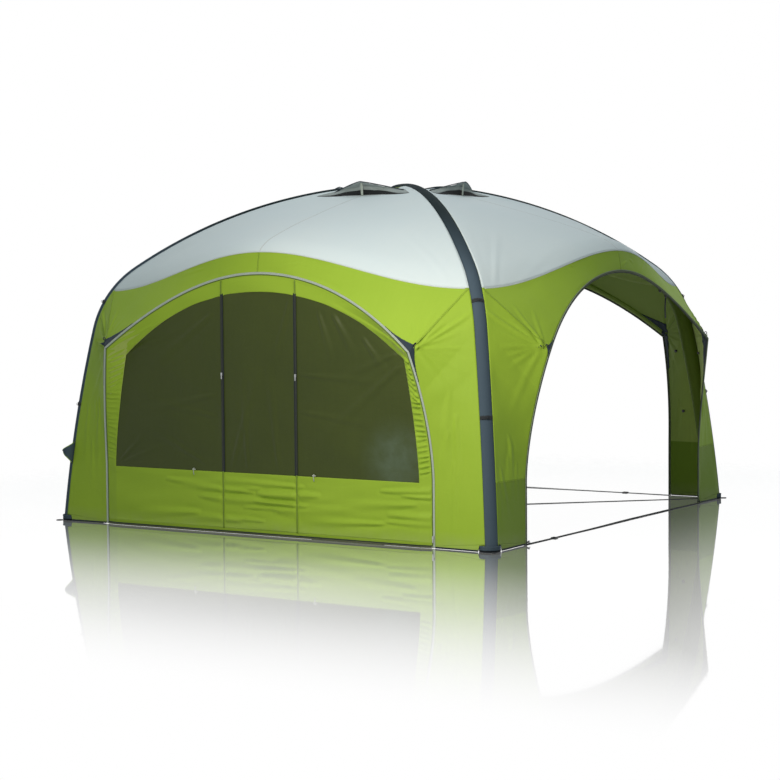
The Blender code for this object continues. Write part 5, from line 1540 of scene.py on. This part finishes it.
def makeFlap(name, axes):
    plan = valvePlan
    facet = tent["seamTurn"] / 3
    reach = tent["tube"] * cos(facet) / cos(plan["flapStart"] - 2 * facet) + tent["layer"] + tent["cloth"] / 2
    hinge = Matrix.Translation((reach * cos(plan["flapStart"]), reach * sin(plan["flapStart"]), 0))
    swing = np.array(axes @ hinge @ Matrix.Rotation(plan["flapOpen"], 4, "Z") @ hinge.inverted())

    def place(level, share):
        turn = plan["flapStart"] + (plan["flapEnd"] - plan["flapStart"]) * share
        far = reach + 0.0005 + plan["flapRise"] * np.sin(pi * ramp(share)) ** 1.15
        far = far + 0.0011 * smooth(share / 0.25)
        half = plan["flapTip"] / 2 + (plan["flapHeight"] - plan["flapTip"]) / 2 * (1 - share) ** 1.15
        curl = 0.004 * np.sin(level * 2.2 + 0.4) * share
        far = far + curl
        return placedPoints(np.stack((far * np.cos(turn), far * np.sin(turn), half * level), axis=-1), swing)

    body = "valve_flap_" + name
    flap = clothGrid("valveFlap_" + name, np.linspace(-1, 1, 25), np.linspace(0, 1, 31) ** 1.2, place, "slateCloth",
                     body=body, nodes=("valve_flap_" + name,))
    levels = np.concatenate((np.full(14, -1.0), np.linspace(-1, 1, 8)[1:-1], np.full(14, 1.0)))
    shares = np.concatenate((np.linspace(0.10, 1, 14), np.ones(6), np.linspace(1, 0.10, 14)))
    rim = place(levels * 0.98, shares)
    middle = place(np.zeros(34), np.minimum(shares, 0.8))
    binding = ribbon("flapBinding_" + name, rim, rim - middle, *plan["flapTape"], "seamCloth", body)
    declareSheet(flap)


guyPlan = {"wrap": 0.94, "lift": 0.0012, "slack": 0.0034, "band": (0.025, 0.0018), "eye": (0.009, 0.0020)}


def makeGuyBands(name, azimuth):
    plan = guyPlan
    knots = [footAngle + (legEnd - footAngle) * 3 / 5, legEnd + (seamAngle - legEnd) * 2 / 3]
    share, still = np.linspace(0, 1, 25), np.zeros(25)
    turns, spin = np.linspace(-1, 1, 25) * tent["seamTurn"] * plan["wrap"], 2 * pi * share
    far = tent["tube"] + plan["lift"] + plan["slack"] * np.sin(pi * share) ** 0.6
    band = np.stack((far * np.cos(turns), far * np.sin(turns), still), axis=1)
    # A small webbing eye on each band takes the guy rope
    eye = np.stack((tent["tube"] + 0.008 + 0.005 * np.cos(spin), still, -0.003 + 0.007 * np.sin(spin)), axis=1)
    for number, angle in enumerate(knots):
        for end, where in ((-1, "near"), (1, "far")):
            axes = np.array(legFrame(azimuth, angle, end))
            label = "%s_%s%d" % (name, where, number)
            ribbon("guyBand_" + label, placedPoints(band, axes), axes[:3, 2], *plan["band"], "webbing")
            ribbon("guyEye_" + label, placedPoints(eye, axes), axes[:3, 1], *plan["eye"], "webbing")


footPlan = {"reach": 2.484229, "wall": 0.003, "floor": 0.005, "height": 0.040, "clearance": 0.007,
            "loopReach": 0.050, "loopWidth": 0.034, "loopWeb": 0.011, "loopThickness": 0.0028, "loopUp": 0.0024,
            "rim": 0.0012}


def makeBoot(quarter):
    plan = footPlan
    side = sides[quarter]
    outer = tent["tube"] + plan["clearance"] + plan["wall"]
    corner = Matrix.Rotation(-pi / 4 + quarter * pi / 2, 4, "Z") @ Matrix.Translation((plan["reach"], 0, 0))
    wall, top = plan["wall"], plan["height"]
    profile = [(0, 0), (0, outer - 0.006), (0.002, outer - 0.001), (0.006, outer), (top - 0.009, outer),
               (top - 0.007, outer + plan["rim"]), (top - 0.001, outer + plan["rim"]), (top, outer - 0.0006),
               (top, outer - wall), (plan["floor"], outer - wall - 0.001), (plan["floor"], 0)]
    turnedPiece("cornerBoot_" + side, profile, corner @ Matrix.Rotation(-pi / 2, 4, "Y"), "bootCloth",
                nodes=("corner_boot_" + side,), steps=64, bevel=0)
    spin = np.linspace(0, 2 * pi, 65)
    middle = outer - wall / 2 + plan["loopReach"] / 2
    axes = np.array(corner)

    def place(row, column):
        inset = column * plan["loopWeb"]
        along = middle + (plan["loopReach"] / 2 - inset) * np.cos(row)
        across = (plan["loopWidth"] / 2 - inset) * np.sin(row)
        up = plan["loopUp"] + 0.002 * ramp(along - 0.1)
        return placedPoints(np.stack((along, across, up), axis=-1), axes)

    clothGrid("pegLoop_" + side, spin, np.linspace(0, 1, 5), place, "webbing", thickness=plan["loopThickness"])


strapPlan = {"width": 0.025, "thickness": 0.0016, "lift": 0.0012, "hump": 0.150, "end": 1.380,
             "diagonals": (("over", -pi / 4, 0.0022), ("under", pi / 4, 0))}


def makeStraps():
    plan = strapPlan
    along = np.linspace(-plan["end"], plan["end"], 140)
    sway = 0.0020 * np.sin(along * 3.1) + 0.0014 * np.sin(along * 7.3 + 1)
    roll = 0.16 + 0.10 * np.sin(along * 2.3 + 0.6)     # the strap doesn't lie quite flat
    line = np.stack((along, -arch["footOut"] + sway, plan["lift"] + plan["width"] / 2 * roll), axis=1)
    across = np.stack((np.zeros(140), np.ones(140), roll), axis=1)
    for quarter in (1, 2, 3):
        side = sides[quarter]
        ribbon("groundStrap_" + side, line, across, plan["width"], plan["thickness"], "webbing",
               nodes=("ground_strap_" + side,), quarter=quarter)
        easedCopy("strap_buckle_" + side, "strapBuckle_" + side, "blackPlastic", "strap_buckle_" + side, 0.0009)
    reach = footPlan["reach"] - tent["tube"] - footPlan["clearance"] - footPlan["wall"] - 0.0006
    for name, azimuth, rise in plan["diagonals"]:
        along = np.linspace(-reach, reach, 260)
        hump = rise * smooth((plan["hump"] - np.abs(along)) / (plan["hump"] - 0.02))
        roll = 0.10 * smooth((np.abs(along) - plan["hump"]) / 0.3) * (1 + 0.5 * np.sin(along * 1.9))
        up = plan["lift"] + hump + plan["width"] / 2 * roll
        points = np.stack((along, 0.0016 * np.sin(along * 4.1), up), axis=1)
        turn = np.array(Matrix.Rotation(azimuth, 3, "Z"))
        across = np.stack((np.zeros(260), np.ones(260), roll), axis=1)
        ribbon("diagonalStrap_" + name, points @ turn.T, across @ turn.T, plan["width"], plan["thickness"],
               "webbing", nodes=("diagonal_strap_" + name,))


for name, azimuth in (("over", -pi / 4), ("under", pi / 4)):
    makeValve(name, azimuth)
    makeGuyBands(name, azimuth)
for quarter in range(4):
    makeBoot(quarter)
makeStraps()
print("fittings done")


studio = {"world": 0.20, "worldTint": (0.80, 0.98, 1.0), "floorRadius": 14.0, "fadeStart": 2.8, "fadeEnd": 5.0,
          "floorColour": 0.60, "floorGlow": 0.74, "mirror": 0.93, "mirrorReach": 4.2}
lamps = {"key": {"place": (1.9, -4.3, 2.5), "aim": (1.6, -1.8, 1.35), "size": 1.5, "power": 80,
                 "colour": (1.0, 0.94, 0.84)},
         "top": {"place": (0.3, -0.2, 7.2), "aim": (0.2, 0.0, 1.8), "size": 6.0, "power": 122,
                 "colour": (0.97, 0.99, 1.0)}}


def makeLamp(name, plan):
    data = bpy.data.lights.new(name + "Light", "AREA")
    data.energy, data.size, data.color = plan["power"], plan["size"], plan["colour"]
    light = bpy.data.objects.new(name + "Light", data)
    bpy.context.scene.collection.objects.link(light)
    light.location = plan["place"]
    light.rotation_euler = (Vector(plan["aim"]) - Vector(plan["place"])).to_track_quat("-Z", "Y").to_euler()
    light.visible_camera = False


def directRays(tree):
    # 1 on rays from the camera, off a mirror or through glass, and then on rays from the camera alone
    path = addNode(tree, "LightPath").outputs
    bent = calc(tree, "MAXIMUM", path["Is Glossy Ray"], path["Is Transmission Ray"])
    return calc(tree, "MAXIMUM", path["Is Camera Ray"], bent), path["Is Camera Ray"]


def makeWorld(plan):
    world = bpy.data.worlds.new("studioWorld")
    bpy.context.scene.world = world
    world.use_nodes = True
    tree = world.node_tree
    seen, _ = directRays(tree)
    background = tree.nodes["Background"].inputs
    feed(tree, background["Color"], mixColour(tree, seen, (*plan["worldTint"], 1), (1, 1, 1, 1)))
    feed(tree, background["Strength"], calc(tree, "MULTIPLY_ADD", seen, 1 - plan["world"], plan["world"]))


def makeFloor(plan):
    bm = bmesh.new()
    bmesh.ops.create_circle(bm, cap_ends=True, segments=96, radius=plan["floorRadius"])
    floor = bpy.data.objects.new("floor", meshFrom(bm, "floor"))
    bpy.context.scene.collection.objects.link(floor)
    material, tree, shader, coordinates = startMaterial("floorMaterial")
    seen, fromCamera = directRays(tree)
    for key, value in (("Base Color", (*[plan["floorColour"]] * 3, 1)), ("Roughness", 0.9),
                       ("Specular IOR Level", 0.0), ("Emission Color", (1, 1, 1, 1)),
                       ("Emission Strength", calc(tree, "MULTIPLY", seen, plan["floorGlow"]))):
        feed(tree, shader.inputs[key], value)
    # The polish is strongest beside the shelter and dies away from it
    place = coordinates["Object"]
    square = calc(tree, "MAXIMUM", *(calc(tree, "ABSOLUTE", axisOf(tree, place, axis)) for axis in "XY"))
    polish = fading(tree, square, tent["halfSide"], tent["halfSide"] + plan["mirrorReach"], plan["mirror"])
    distance = addNode(tree, "VectorMath", {0: place}, operation="LENGTH").outputs["Value"]
    fade = fading(tree, distance, plan["fadeStart"], plan["fadeEnd"])
    gloss = addNode(tree, "BsdfGlossy", {"Color": (1, 1, 1, 1), "Roughness": 0.03}).outputs[0]
    clear = addNode(tree, "BsdfTransparent").outputs[0]
    pale = addNode(tree, "MixShader", {0: fade, 1: clear, 2: shader.outputs[0]}).outputs[0]
    polished = addNode(tree, "MixShader", {0: calc(tree, "MULTIPLY", polish, fromCamera), 1: pale, 2: gloss})
    feed(tree, tree.nodes["Material Output"].inputs["Surface"], polished.outputs[0])
    floor.data.materials.append(material)


makeWorld(studio)
makeFloor(studio)
for name, plan in lamps.items():
    makeLamp(name, plan)
bpy.context.scene.view_settings.view_transform = "Standard"

print("scene ready")
